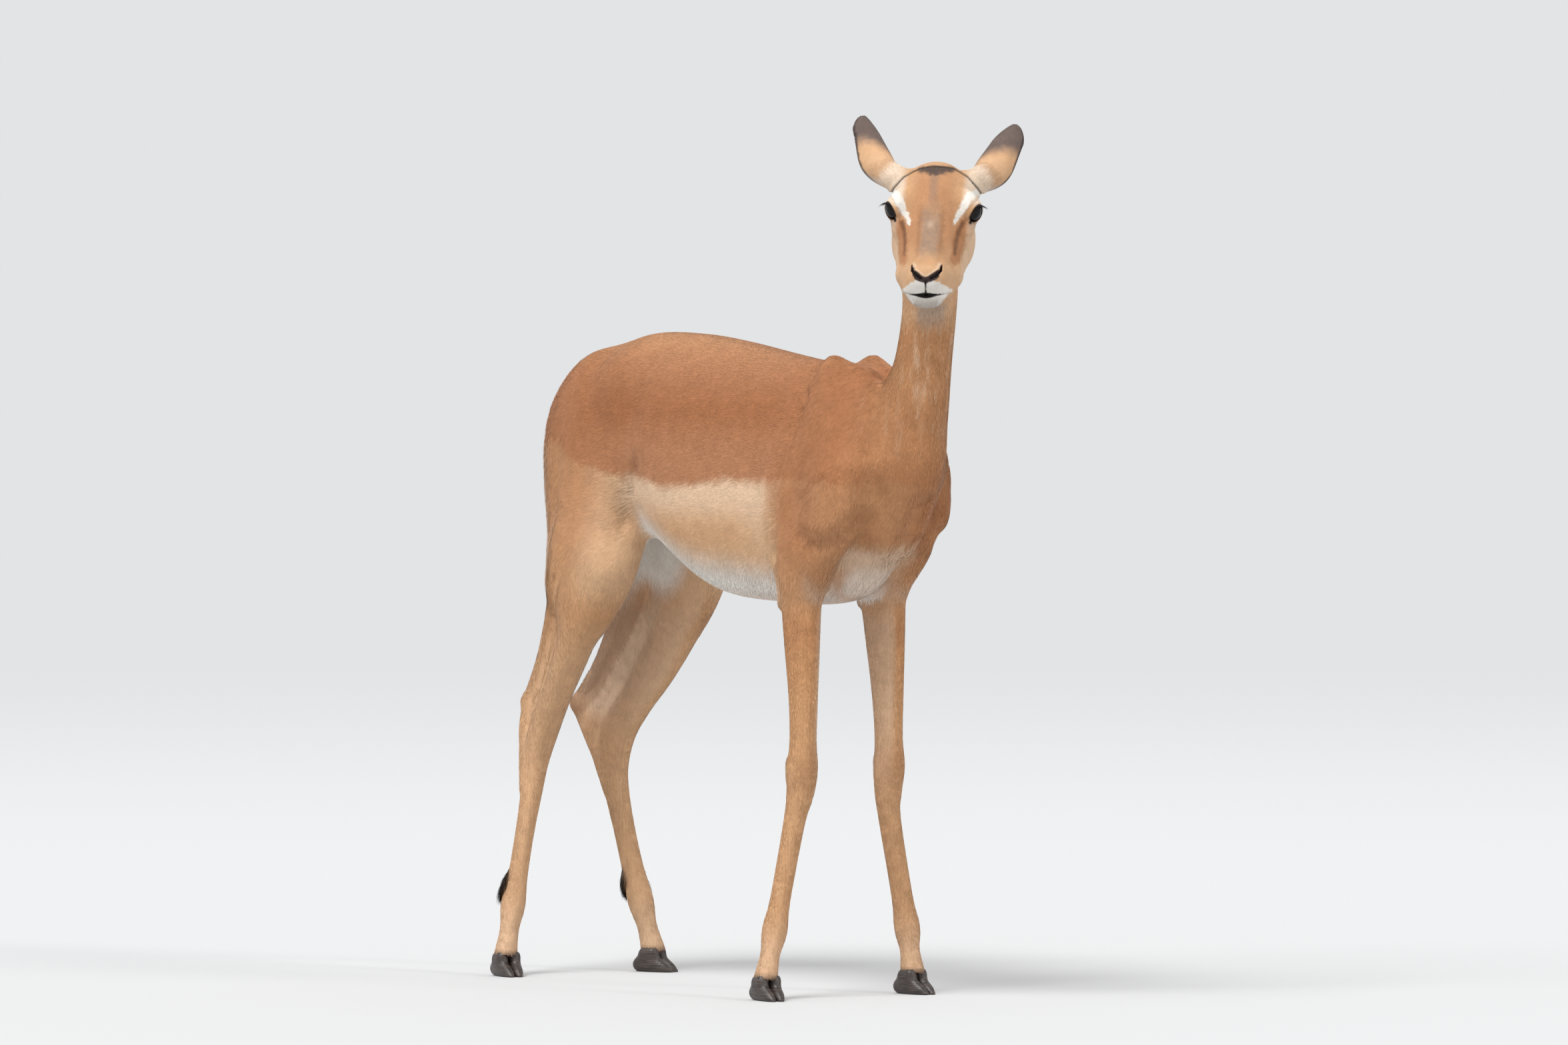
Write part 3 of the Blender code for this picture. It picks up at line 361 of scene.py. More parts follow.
def join(fields, blend):
    def distance(p):
        total = fields[0](p)
        for f in fields[1:]:
            total = smooth_union(total, f(p), blend)
        return total
    return distance

def stations(table, side=1):
    """The stations of a sweep from a table of forward, outward, up, half width and half depth."""
    return [(at(f, side * out, u), wide, deep) for f, out, u, wide, deep in table]

def lump(row, side=1):
    """A blob from a row of forward, outward, up and three radii."""
    f, out, u = row[:3]
    return blob(at(f, side * out, u), row[3:])

def rod(ends, side=1):
    """A limb from its two ends, each forward, outward, up and radius."""
    (f0, out0, u0, start), (f1, out1, u1, end) = ends
    return limb(at(f0, side * out0, u0), at(f1, side * out1, u1), start, end)

def outward(kind, side):
    """The across direction of a leg with its toes turned out."""
    turn = TOE_OUT[kind, side]
    return at(-side * sin(turn), cos(turn), 0)

def foot(kind, side):
    """(fetlock, the point on the floor under the foot, how far the foot turns to the left)"""
    f, out, u = FETLOCK[kind, side]
    ahead, away = TOE[kind, side]
    return at(f, side * out, u), at(ahead, side * away, 0), side * TOE_OUT[kind, side]

def pastern(kind, side):
    fetlock, toe, _ = foot(kind, side)
    coronet = toe + at(-0.005, 0, 0.03)
    return [(fetlock, 0.0176, 0.0195), ((fetlock + coronet) / 2, 0.0138, 0.015), (coronet, 0.0168, 0.018)]

def trunk():
    parts = [barrel(TRUNK)]
    for s in (-1, 1):
        parts.append(sweep(stations(THIGH, s), steps=6, reach=0.1, cap=0.045))
        parts.append(lump(HIP, s))
    return join(parts, TRUNK_BLEND)

def fore_leg(side):
    across = outward("fore", side)
    rows = stations(FORE_LEG, side)
    fetlock = foot("fore", side)[0]
    rows.append((fetlock * 0.72 + rows[-1][0] * 0.28, 0.014, 0.0165))
    upper = join([sweep(stations(BLADE, side), steps=6, reach=0.06, cap=0.02),
                  lump(UPPER_ARM, side),
                  sweep(stations(SHOULDER, side), steps=6, reach=0.06, cap=0.035),
                  sweep(stations(YOKE, side), steps=6, reach=0.06, cap=0.03)], SHOULDER_BLEND)
    lower = join([sweep(rows + pastern("fore", side), across, cap=0.03),
                  sweep(stations(ELBOW, side), across, cap=0.014),
                  sweep(stations(KNEE_BACK, side), across)], LEG_BLEND)
    return upper, lower

def hind_leg(side):
    across = outward("hind", side)
    rows = stations(HIND_LEG[side], side)
    heel, cord = (at(f, side * out, u) for f, out, u in (HEEL[side], CORD[side]))
    stifle, knee, shin, hock, shank, cannon = (row[0] for row in rows[1:7])
    tendon = ((cord, 0.024, 0.036), (cord * 0.62 + heel * 0.38 + at(0.006, 0, 0.004), 0.0165, 0.024),
              (cord * 0.3 + heel * 0.7 + at(0.006, 0, 0.002), 0.01, 0.012),
              (heel * 0.9 + cord * 0.1, 0.0086, 0.0098), (heel, 0.0105, 0.011))
    back = ((heel + at(0.004, 0, -0.004), 0.0115, 0.013),
            (heel * 0.45 + shank * 0.55 + at(-0.012, 0, 0), 0.0135, 0.016),
            (cannon + at(-0.008, 0, 0), 0.012, 0.012))
    web = ((cord * 0.4 + stifle * 0.6, 0.018, 0.04), (cord * 0.35 + heel * 0.2 + knee * 0.45, 0.01, 0.034),
           ((heel + shin) / 2 + at(0, 0, 0.01), 0.0065, 0.026), ((heel + hock) / 2, 0.009, 0.022))
    return join([sweep(rows + pastern("hind", side), across, cap=0.035), sweep(tendon, across),
                 sweep(back, across), sweep(web, across, cap=0.02)], HOCK_BLEND)

def skull():
    face = barrel(FACE, 2.35, 0.013, 0.03)
    parts = [lump(row) for row in SKULL_MIDDLE] + [rod(NAPE_ROD)]
    for s in (-1, 1):
        parts += [lump(row, s) for row in SKULL_SIDE] + [rod(CHEEK_ROD, s), rod(LIP_ROD, s)]
    rest = join(parts, SKULL_BLEND)
    def distance(p):
        q = to_head(p)
        out = np.maximum(length(q) - 0.24, 0) + 0.1
        near = np.flatnonzero(out <= 0.1)
        out[near] = smooth_union(face(q[near]), rest(q[near]), 0.014)
        return out
    return distance

def ear_frame(side):
    """(root, the way to the tip, the way the hollow faces, across)"""
    root = in_head(*(np.array(EAR_ROOT) * (1, side, 1)))
    axis = at(*(np.array(EAR_WAY[side]) * (1, side, 1))) @ LEVEL_HEAD
    axis /= np.linalg.norm(axis)
    opening = at(*(np.array(EAR_OPENING[side]) * (1, side, 1))) @ LEVEL_HEAD
    opening -= (opening @ axis) * axis
    opening /= np.linalg.norm(opening)
    return root, axis, opening, np.cross(opening, axis)

def ear_curl(t):
    """The curl at a fraction of an ear's length: (half the angle it spans, its radius)"""
    half = EAR_HALF_WIDTH * (0.36 + 0.64 * np.sin(np.minimum(t / 0.54, 1) * pi / 2))
    half = half * (1 - 0.34 * np.clip((t - 0.3) / 0.7, 0, 1) ** 1.5)
    half = half * np.sqrt(1 - np.clip((t - 0.78) / 0.22, 0, 1) ** 2)
    reach = 2.55 - 1.5 * np.clip(t / 0.75, 0, 1) ** 0.8
    return reach, np.maximum(half, 0.004) / np.sin(np.minimum(reach, pi / 2))

def ear(side):
    """A thin curled sheet, nearly closed at its root and open towards its tip."""
    root, axis, opening, across = (a.astype(np.float32) for a in ear_frame(side))
    centre = root + axis * EAR_LENGTH / 2
    foot_of_stem = in_head(*(np.array(EAR_STEM) * (1, side, 1)))
    stem = limb(foot_of_stem, root + axis * 0.02 + opening * 0.004, 0.0235, 0.0125)
    def distance(p):
        out = length(p - centre) - EAR_LENGTH * 0.62
        near = np.flatnonzero(out < 0.03)
        q = p[near] - root
        t = (q @ axis) / EAR_LENGTH
        x, y = q @ across, q @ opening
        tc = np.clip(t, 0, 1)
        reach, radius = ear_curl(tc)
        angle = np.arctan2(np.abs(x), radius - y)
        ring = np.sqrt(x * x + (y - radius) ** 2)
        over = np.maximum(radius * (angle - reach), 0)
        thick = EAR_THICKNESS / 2 * (1.3 - 0.45 * tc)
        tip = np.maximum(t - 0.985, 0) * EAR_LENGTH
        base = np.maximum(-t, 0) * EAR_LENGTH
        sheet = np.sqrt((ring - radius) ** 2 + over ** 2 + tip ** 2 + base ** 2) - thick
        out[near] = smooth_union(sheet, stem(p[near]), 0.008)
        return out
    return distance

def claw(toe, turn, inner):
    """One of the two claws of a foot; inner is 1 for the one on the foot's left."""
    heading, across = at(cos(turn), sin(turn), 0), at(-sin(turn), cos(turn), 0)
    middle = toe + across * inner * CLAW_APART
    tip, heel = middle + heading * 0.03 - across * inner * 0.0035, middle - heading * 0.02
    body = sweep(((heel + at(0, 0, 0.01), 0.0082, 0.01), (middle + at(0, 0, 0.011), 0.0089, 0.012),
                  (middle * 0.4 + tip * 0.6 + at(0, 0, 0.006), 0.008, 0.0086),
                  (tip + at(0, 0, 0.001), 0.0042, 0.0038)), across)
    top = limb(middle - heading * 0.011 + at(0, 0, 0.026), middle + heading * 0.002 + at(0, 0, 0.028),
               0.0084, 0.0078)
    return join([body, top], 0.012)

def whole(with_ears=True):
    """The whole animal but its hooves and eyes, out to the tips of its coat."""
    torso, neck = trunk(), sweep(stations(NECK), steps=6, reach=0.1, cap=0.04)
    fore, hind = [fore_leg(s) for s in (1, -1)], [hind_leg(s) for s in (1, -1)]
    head, tail = skull(), sweep(stations(TAIL))
    ears = [ear(1), ear(-1)] if with_ears else []
    def distance(p):
        d = smooth_union(torso(p), neck(p), NECK_JOIN)
        for upper, _ in fore:
            d = smooth_union(d, upper(p), SHOULDER_JOIN)
        for (_, lower), leg in zip(fore, hind):
            d = smooth_union(d, lower(p), ELBOW_JOIN)
            d = smooth_union(d, leg(p), HIP_JOIN)
        d = smooth_union(d, head(p), HEAD_JOIN)
        for e in ears:
            d = smooth_union(d, e(p), EAR_JOIN)
        return smooth_union(d, tail(p), TAIL_JOIN)
    return distance

def largest(obj):
    """Keeps the biggest connected piece of a mesh."""
    work = bmesh.new()
    work.from_mesh(obj.data)
    left, best = set(work.verts), []
    while left:
        piece, edge = [], [left.pop()]
        while edge:
            v = edge.pop()
            piece.append(v)
            for e in v.link_edges:
                w = e.other_vert(v)
                if w in left:
                    left.remove(w)
                    edge.append(w)
        if len(piece) > len(best):
            best = piece
    keep = set(best)
    bmesh.ops.delete(work, geom=[v for v in work.verts if v not in keep], context="VERTS")
    work.to_mesh(obj.data)
    work.free()

# ---- the camera, floor and light -------------------------------------------
HOME = bpy.context.scene.collection
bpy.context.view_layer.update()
VIEW_TURN, VIEW_LIFT, VIEW_FAR = radians(-35), radians(1.5), 16.0
VIEW_AIM = at(0.0325, 0.0464, 0.638)
LENS, SENSOR = 268.2, 36                       # in millimetres
FLOOR_RADIUS, FLOOR_COLOUR = 60, (0.56, 0.56, 0.56)
FADE_START, FADE_END = 2.5, 12.0               # how far out the floor starts to fade into the light, and ends
SKY_COLOUR, SKY_STRENGTH = (0.93, 0.945, 0.96), 0.82
# azimuth and height in degrees, strength, and how wide the light is in degrees
LIGHTS = {"key": (-70, 58, 2.42, 26), "right": (-100, 32, 0.25, 12), "front": (22, 32, 0.62, 12)}

def add_object(name, data):
    obj = bpy.data.objects.new(name, data)
    HOME.objects.link(obj)
    return obj

def make_smooth(mesh):
    mesh.polygons.foreach_set("use_smooth", np.full(len(mesh.polygons), True))

def unit(v):
    v = np.asarray(v, float)
    return v / np.linalg.norm(v, axis=-1, keepdims=True)

def ramp(x, low, high):
    """0 below low, 1 above high, and a soft step between them; also with low above high."""
    t = np.clip((x - low) / (high - low), 0, 1)
    return t * t * (3 - 2 * t)

def floor_paint():
    """A pale floor that fades, with distance from the model, into the light around it."""
    paint, shader = material("floor", FLOOR_COLOUR, 0.9)
    n = Nodes(paint)
    place = n.add("TexCoord").outputs["Object"]
    far = n.add("VectorMath", {"operation": "LENGTH"}, i0=place).outputs["Value"]
    soft = {"interpolation_type": "SMOOTHSTEP"}
    fade = n.add("MapRange", soft, i0=far, i1=FADE_START, i2=FADE_END, i3=0.0, i4=1.0).outputs[0]
    glow = n.add("Emission", None, Color=(*SKY_COLOUR, 1), Strength=SKY_STRENGTH).outputs[0]
    mixed = n.add("MixShader", None, i0=fade, i1=shader.outputs[0], i2=glow).outputs[0]
    n.link(mixed, paint.node_tree.nodes["Material Output"].inputs["Surface"])
    return paint

def add_camera():
    back = Vector((sin(VIEW_TURN) * cos(VIEW_LIFT), -cos(VIEW_TURN) * cos(VIEW_LIFT), sin(VIEW_LIFT)))
    camera = bpy.data.objects.new("camera", bpy.data.cameras.new("camera"))
    camera.data.lens, camera.data.sensor_width = LENS, SENSOR
    camera.data.clip_end = 200
    camera.location = Vector(VIEW_AIM + PLACE) + back * VIEW_FAR
    camera.rotation_euler = (-back).to_track_quat("-Z", "Y").to_euler()
    HOME.objects.link(camera)
    bpy.context.scene.camera = camera

def add_floor():
    work = bmesh.new()
    bmesh.ops.create_circle(work, cap_ends=True, segments=96, radius=FLOOR_RADIUS)
    mesh = bpy.data.meshes.new("floor")
    work.to_mesh(mesh)
    work.free()
    floor = add_object("floor", mesh)
    mesh.materials.append(floor_paint())

def add_lights():
    for name, (azimuth, lift, strength, spread) in LIGHTS.items():
        lamp = bpy.data.objects.new(name, bpy.data.lights.new(name, "SUN"))
        lamp.data.energy, lamp.data.angle = strength, radians(spread)
        a, e = radians(azimuth), radians(lift)
        out = Vector((sin(a) * cos(e), -cos(a) * cos(e), sin(e)))
        lamp.rotation_euler = out.to_track_quat("Z", "Y").to_euler()
        HOME.objects.link(lamp)
    world = bpy.data.worlds.new("world")
    world.use_nodes = True
    sky = world.node_tree.nodes["Background"]
    sky.inputs["Color"].default_value = (*SKY_COLOUR, 1)
    sky.inputs["Strength"].default_value = SKY_STRENGTH
    bpy.context.scene.view_settings.view_transform = "Standard"
    bpy.context.scene.world = world

# ---- materials -------------------------------------------------------------
def material(name, colour, roughness):
    paint = bpy.data.materials.new(name)
    paint.use_nodes = True
    shader = paint.node_tree.nodes["Principled BSDF"]
    shader.inputs["Base Color"].default_value = (*colour, 1)
    shader.inputs["Roughness"].default_value = roughness
    return paint, shader

class Nodes:
    """A short way to write a material's node tree."""
    def __init__(self, paint):
        self.tree = paint.node_tree
    def add(self, kind, settings=None, **inputs):
        node = self.tree.nodes.new("ShaderNode" + kind)
        for key, value in (settings or {}).items():
            setattr(node, key, value)
        for key, value in inputs.items():
            socket = node.inputs[int(key[1:])] if key[0] == "i" and key[1:].isdigit() else node.inputs[key]
            if isinstance(value, bpy.types.NodeSocket):
                self.tree.links.new(value, socket)
            else:
                socket.default_value = value
        return node
    def math(self, how, a, b):
        return self.add("Math", {"operation": how}, i0=a, i1=b).outputs[0]
    def link(self, a, b):
        self.tree.links.new(a, b)

# the coat's material: streaks in each metre, how far they are drawn out along the lie, mottles in each metre,
# then how far streaks and mottles lighten the colour and how dark it starts
STREAKS, DRAWN_OUT, MOTTLES = 900.0, 0.86, 55.0
STREAK_LIGHT, MOTTLE_LIGHT, DARKEST = 0.62, 0.3, 0.54
SHEEN_TINT = (1.0, 0.86, 0.72, 1)

def hair_paint(name, bump):
    """Short hair: the colour attribute, varied by fine streaks along the lie, which are its bump too."""
    paint, shader = material(name, (0.5, 0.3, 0.15), 0.62)
    n = Nodes(paint)
    colour = n.add("Attribute", {"attribute_name": "coat"}).outputs["Color"]
    lie = n.add("Attribute", {"attribute_name": "lie"}).outputs["Vector"]
    place = n.add("TexCoord").outputs["Object"]
    along = n.add("VectorMath", {"operation": "DOT_PRODUCT"}, i0=place, i1=lie).outputs["Value"]
    back = n.math("MULTIPLY", along, -DRAWN_OUT)
    shift = n.add("VectorMath", {"operation": "SCALE"}, i0=lie, Scale=back).outputs[0]
    thin = n.add("VectorMath", {"operation": "ADD"}, i0=place, i1=shift).outputs[0]
    fine = n.add("TexNoise", None, Vector=thin, Scale=STREAKS, Detail=3.0, Roughness=0.6).outputs[0]
    wide = n.add("TexNoise", None, Vector=place, Scale=MOTTLES, Detail=2.0).outputs[0]
    light = n.math("ADD", n.math("MULTIPLY", fine, STREAK_LIGHT), n.math("MULTIPLY", wide, MOTTLE_LIGHT))
    light = n.math("ADD", light, DARKEST)
    tinted = n.add("VectorMath", {"operation": "SCALE"}, i0=colour, Scale=light).outputs[0]
    n.link(tinted, shader.inputs["Base Color"])
    relief = n.add("Bump", None, Strength=bump, Distance=0.0012, Height=fine).outputs[0]
    n.link(relief, shader.inputs["Normal"])
    looks = {"Specular IOR Level": 0.1, "Sheen Weight": 0.04, "Sheen Roughness": 0.45,
             "Sheen Tint": SHEEN_TINT}
    for socket, value in looks.items():
        shader.inputs[socket].default_value = value
    return paint

# ---- fine meshes -----------------------------------------------------------
LINES_APART = 4                                # a first look at a field takes each fourth grid line
GROWTH = 0.22                                  # how fast grid lines draw apart outside a fine stretch
CHUNK = 300000                                 # points worked out at a time
EVEN_OUT, SWELL_BACK = 0.5, -0.53              # the two steps of smoothing

def spaced(low, high, step, *fine):
    """Grid lines from low to high, closer together in each fine stretch (start, end, step)."""
    lines = [low]
    while lines[-1] < high:
        x = lines[-1]
        lines.append(x + min([step] + [s + GROWTH * max(a - x, x - b, 0) for a, b, s in fine]))
    while len(lines) % LINES_APART != 1:
        lines.append(2 * lines[-1] - lines[-2])
    return np.array(lines)

def sample_lines(field, lines):
    """Values of the field where the grid lines cross; exact near the surface, and only signed far from it."""
    big = [line[::LINES_APART] for line in lines]
    rough = field(np.stack(np.meshgrid(*big, indexing="ij"), -1).reshape(-1, 3).astype(np.float32))
    rough = rough.reshape([len(line) for line in big])
    size = np.stack(np.meshgrid(*[np.gradient(line) for line in big], indexing="ij"), -1)
    near = np.abs(rough) < 1.7 * np.sqrt((size ** 2).sum(-1))
    def spread(a):
        for axis in range(3):
            a = np.repeat(a, LINES_APART, axis)
        return a[:len(lines[0]), :len(lines[1]), :len(lines[2])]
    fine, index = spread(rough).astype(np.float32), np.argwhere(spread(near))
    out = np.empty(len(index), np.float32)
    for i in range(0, len(index), CHUNK):
        k = index[i:i + CHUNK]
        out[i:i + CHUNK] = field(np.stack([lines[a][k[:, a]] for a in range(3)], 1).astype(np.float32))
    fine[tuple(index.T)] = out
    return fine

def net_on_lines(field, lines):
    """(points, quads) of the field's surface, roughly, on a grid of lines."""
    points, quads = surface_net(filled(sample_lines(field, lines)))
    return np.stack([np.interp(points[:, a], np.arange(len(lines[a])), lines[a]) for a in range(3)], 1), quads

def skin_net(field, lines):
    """(points, quads) of the field's surface on a grid of lines."""
    points, quads = net_on_lines(field, lines)
    return settle(field, points, rounds=2, most=0.002), quads

def smoothed(points, quads, rounds):
    """Evens out small ripples of a mesh of quads without shrinking it."""
    edges = np.concatenate([quads[:, [i, (i + 1) % 4]] for i in range(4)])
    count = np.bincount(edges.ravel(), minlength=len(points))[:, None]
    for step in range(2 * rounds):
        total = np.zeros_like(points)
        for a, b in ((0, 1), (1, 0)):
            for axis in range(3):
                total[:, axis] += np.bincount(edges[:, a], points[edges[:, b], axis], len(points))
        points = points + (total / np.maximum(count, 1) - points) * (EVEN_OUT, SWELL_BACK)[step % 2]
    return points

def mesh_object(name, points, faces):
    mesh = bpy.data.meshes.new(name)
    faces = np.asarray(faces, np.int32)
    mesh.vertices.add(len(points))
    mesh.vertices.foreach_set("co", np.asarray(points, np.float32).ravel())
    mesh.loops.add(faces.size)
    mesh.loops.foreach_set("vertex_index", faces.ravel())
    mesh.polygons.add(len(faces))
    mesh.polygons.foreach_set("loop_start", np.arange(len(faces), dtype=np.int32) * faces.shape[1])
    mesh.polygons.foreach_set("loop_total", np.full(len(faces), faces.shape[1], np.int32))
    mesh.update()
    mesh.validate()
    make_smooth(mesh)
    return add_object(name, mesh)

def read_rows(items, name, kind=np.float32):
    """A property of mesh items that has three values, as rows."""
    out = np.empty(len(items) * 3, kind)
    items.foreach_get(name, out)
    return out.reshape(-1, 3)

def read_points(mesh):
    return read_rows(mesh.vertices, "co").astype(float)

def set_values(mesh, name, values):
    """Stores the coat's colours, or vectors, at a mesh's points."""
    if name == "coat":
        layer = mesh.color_attributes.new(name, "FLOAT_COLOR", "POINT")
        with_alpha = np.column_stack((values, np.ones(len(values))))
        layer.data.foreach_set("color", with_alpha.astype(np.float32).ravel())
    else:
        layer = mesh.attributes.new(name, "FLOAT_VECTOR", "POINT")
        layer.data.foreach_set("vector", np.asarray(values, np.float32).ravel())

# ---- the skin's shape ------------------------------------------------------
FAR = 0.05                                     # stands for any distance too great to matter
LID = 0.0018                                   # how far the lids stand over the eyeball
LID_HALF_LENGTH, UPPER_LID, LOWER_LID = 0.0117, 0.0104, 0.0092
# how far the skin lies inside the coat's tips
COAT_BODY, COAT_LEG, COAT_HEAD, COAT_EAR = 0.0015, 0.0009, 0.0007, 0.0005

def eye_axes(side):
    """Rows: towards the eye's front corner, up, and out along the gaze; in the head's frame."""
    gaze = unit(at(0.62, side * 0.78, 0.04))
    along = at(1, 0, -0.26)
    along = unit(along - (along @ gaze) * gaze)
    up = np.cross(along, gaze)
    return np.array((along, up * np.sign(up[2]), gaze))

def eye_place(side):
    return at(EYE_SEAT[0], side * EYE_SEAT[1], EYE_SEAT[2])

def to_eye(q, side):
    """Points of the head's frame in an eye's: towards its front corner, up and out."""
    return (q - eye_place(side)) @ eye_axes(side).T

def lid_gap(x, y):
    """Under 0 inside the opening of the lids, which is an oval drawn out to a point at the front corner."""
    long = np.where(x > 0, LID_HALF_LENGTH * 1.12, LID_HALF_LENGTH)
    tall = np.where(y > 0, UPPER_LID, LOWER_LID)
    oval = (np.hypot(x / long, y / tall) - 1) * UPPER_LID
    corner = np.maximum((np.abs(y) - 0.55 * (LID_HALF_LENGTH * 1.32 - x)) * 0.8, x - LID_HALF_LENGTH * 1.28)
    in_front = (x > LID_HALF_LENGTH * 0.58) & (x < LID_HALF_LENGTH * 1.36)
    return np.minimum(oval, np.where(in_front, corner, FAR))

def front(q, p_up):
    """Across the face, up in the world from between the eyes, and ahead of the eyes."""
    return q[:, 0], p_up - EYE_MIDPOINT[2], -q[:, 1]

def line_distance(x, y, rows):
    """Distance in a plane to a bent line of (x, y, half width) rows, less its half width."""
    best = np.full(len(x), BEYOND)
    for (x0, y0, w0), (x1, y1, w1) in zip(rows[:-1], rows[1:]):
        dx, dy = x1 - x0, y1 - y0
        t = np.clip(((x - x0) * dx + (y - y0) * dy) / (dx * dx + dy * dy), 0, 1)
        best = np.minimum(best, np.hypot(x - x0 - t * dx, y - y0 - t * dy) - (w0 + (w1 - w0) * t))
    return best

# lines on the face: across, up and half width
NOSTRIL = ((0.0197, -0.0745, 0.0006), (0.0188, -0.0815, 0.0013), (0.013, -0.0876, 0.0023),
           (0.0062, -0.0915, 0.0014))
PHILTRUM_TOP, MOUTH = -0.0945, -0.1125
NOSE_PAD = ((0.015, -0.0875, 0.003), (0.006, -0.0918, 0.004), (0.0, -0.0935, 0.0042))
PHILTRUM = ((0.0, -0.0945, 0.003), (0.0, -0.099, 0.0012), (0.0, -0.11, 0.0012), (0.0, MOUTH, 0.0026))
CREST = ((0.0, 0.058, 0.0), (0.022, 0.0555, 0.0), (0.0425, 0.0435, 0.0), (0.056, 0.0285, 0.0),
         (0.064, 0.015, 0.0))

LIP_PLACE, LIP_SIZE = at(0.151, 0, -0.0275), (0.03, 0.013, 0.0095)

def mouth_level(across, ahead):
    return MOUTH + 3.2 * across ** 2 + 0.47 * np.maximum(0.14 - ahead, 0)

def with_lids(d, r):
    """The field near an eye, at points r of the eye's frame, with lids that open over the eyeball."""
    x, y, z = r.T
    far = length(r)
    lids = smooth_union(d, np.maximum(far - (EYE_RADIUS + LID), -z), 0.004)
    gap = lid_gap(x, y)
    fold = np.exp(-((gap - 0.0052) / 0.0013) ** 2) * ramp(y, 0.001, 0.006) * ramp(z, 0.0, 0.006)
    bag = np.exp(-((gap - 0.006) / 0.0016) ** 2) * ramp(y, -0.001, -0.006) * ramp(z, 0.0, 0.006)
    lids = lids + 0.0011 * fold + 0.0006 * bag
    hole = np.maximum(gap, EYE_RADIUS - 0.0012 - far)
    return smooth_cut(lids, np.where(z > 0, hole, 0.02), 0.0012)

def with_muzzle(d, q, across, up, ahead):
    """The field at the tip of the face, with its lower lip, nostrils, groove and parted mouth."""
    d = smooth_union(d, blob(LIP_PLACE, LIP_SIZE)(q), 0.008)
    slit = line_distance(np.abs(across), up, NOSTRIL)
    d = smooth_cut(d, np.maximum(slit, -d - 0.0065), 0.0016)
    rim = np.exp(-((slit - 0.0022) / 0.0014) ** 2) * ramp(up, -0.089, -0.08)
    d = d - 0.0009 * rim
    groove = np.maximum(np.abs(across) - 0.0009, np.maximum(up - PHILTRUM_TOP, MOUTH - up))
    d = smooth_cut(d, np.maximum(groove, np.maximum(0.14 - ahead, -d - 0.0022)), 0.0018)
    open_by = 0.0002 + 0.0025 * np.exp(-(across / 0.013) ** 2) * ramp(ahead, 0.13, 0.15)
    parting = np.maximum(np.abs(up - mouth_level(across, ahead) + open_by * 0.6) - open_by, 0.119 - ahead)
    deep = 0.0022 + 0.0045 * np.exp(-(across / 0.016) ** 2)
    return smooth_cut(d, np.maximum(parting, -d - deep), 0.0018)

def with_face(d, p):
    """The skin of the head with its lids, muzzle, and the ridge round its crown."""
    d = d.copy()
    q = to_head(p)
    near = np.flatnonzero((np.abs(d) < 0.03) & (length(q) < 0.22))
    q, face = q[near], d[near]
    across, up, ahead = front(q, p[near, 2])
    for side in (1, -1):
        r = to_eye(q, side)
        spot = np.flatnonzero(length(r) < 0.04)
        face[spot] = with_lids(face[spot], r[spot])
    tip = np.flatnonzero(ahead > 0.09)
    face[tip] = with_muzzle(face[tip], q[tip], across[tip], up[tip], ahead[tip])
    wide, on_brow = np.abs(across), ramp(ahead, -0.085, -0.06)
    crest = line_distance(wide, up, CREST) + 0.1 * np.maximum(-0.085 - ahead, 0)
    face += 0.0014 * np.exp(-(crest / 0.0016) ** 2) * on_brow
    face -= 0.0014 * np.exp(-((line_distance(wide, up - 0.005, CREST)) / 0.0035) ** 2) * on_brow
    d[near] = face
    return d

def coat_depth(p, ears):
    """How far the skin lies inside the coat's tips."""
    z = p[:, 2]
    depth = COAT_LEG + (COAT_BODY - COAT_LEG) * ramp(z, 0.4, 0.56)
    depth = depth + (COAT_HEAD - COAT_BODY) * ramp(z, 0.88, 0.985)
    near_ear = np.minimum(ears[0], ears[1])
    return depth + (COAT_EAR - depth) * ramp(near_ear, 0.008, 0.001)

# creases between the muscles, the same on both sides: depth, width, then points forward, outward and up
CREASES = {
    "under the point of the shoulder": (
        0.01, 0.013, (0.376, 0.062, 0.645), (0.356, 0.088, 0.62), (0.318, 0.104, 0.612),
        (0.282, 0.104, 0.622)),
    "between neck and shoulder": (
        0.0075, 0.015, (0.368, 0.05, 0.805), (0.384, 0.072, 0.74), (0.392, 0.07, 0.68)),
    "behind the shoulder": (
        0.0055, 0.013, (0.222, 0.088, 0.82), (0.212, 0.104, 0.74), (0.2, 0.106, 0.66),
        (0.19, 0.098, 0.6)),
    "hollow of the flank": (
        0.005, 0.024, (-0.112, 0.096, 0.85), (-0.122, 0.106, 0.79)),
    "fold of the flank": (
        0.007, 0.01, (-0.112, 0.106, 0.715), (-0.146, 0.102, 0.67), (-0.168, 0.09, 0.63)),
    "back of the thigh": (
        0.0022, 0.014, (-0.31, 0.092, 0.76), (-0.318, 0.098, 0.66), (-0.332, 0.096, 0.57)),
    "middle of the breast": (
        0.006, 0.01, (0.398, 0.0, 0.69), (0.384, 0.0, 0.63), (0.35, 0.0, 0.575)),
    "beside the windpipe": (
        0.0026, 0.008, (0.474, 0.017, 0.93), (0.464, 0.02, 0.87), (0.456, 0.024, 0.81),
        (0.452, 0.03, 0.75))}

def path_distance(p, path):
    """Distance to a bent line through space."""
    best = np.full(len(p), BEYOND)
    for start, end in zip(path[:-1], path[1:]):
        best = np.minimum(best, limb(start, end, 0.0, 0.0)(p))
    return best

HOLLOW_DEPTH, HOLLOW_WIDTH, HOLLOW_APART = 0.0023, 0.008, 0.016

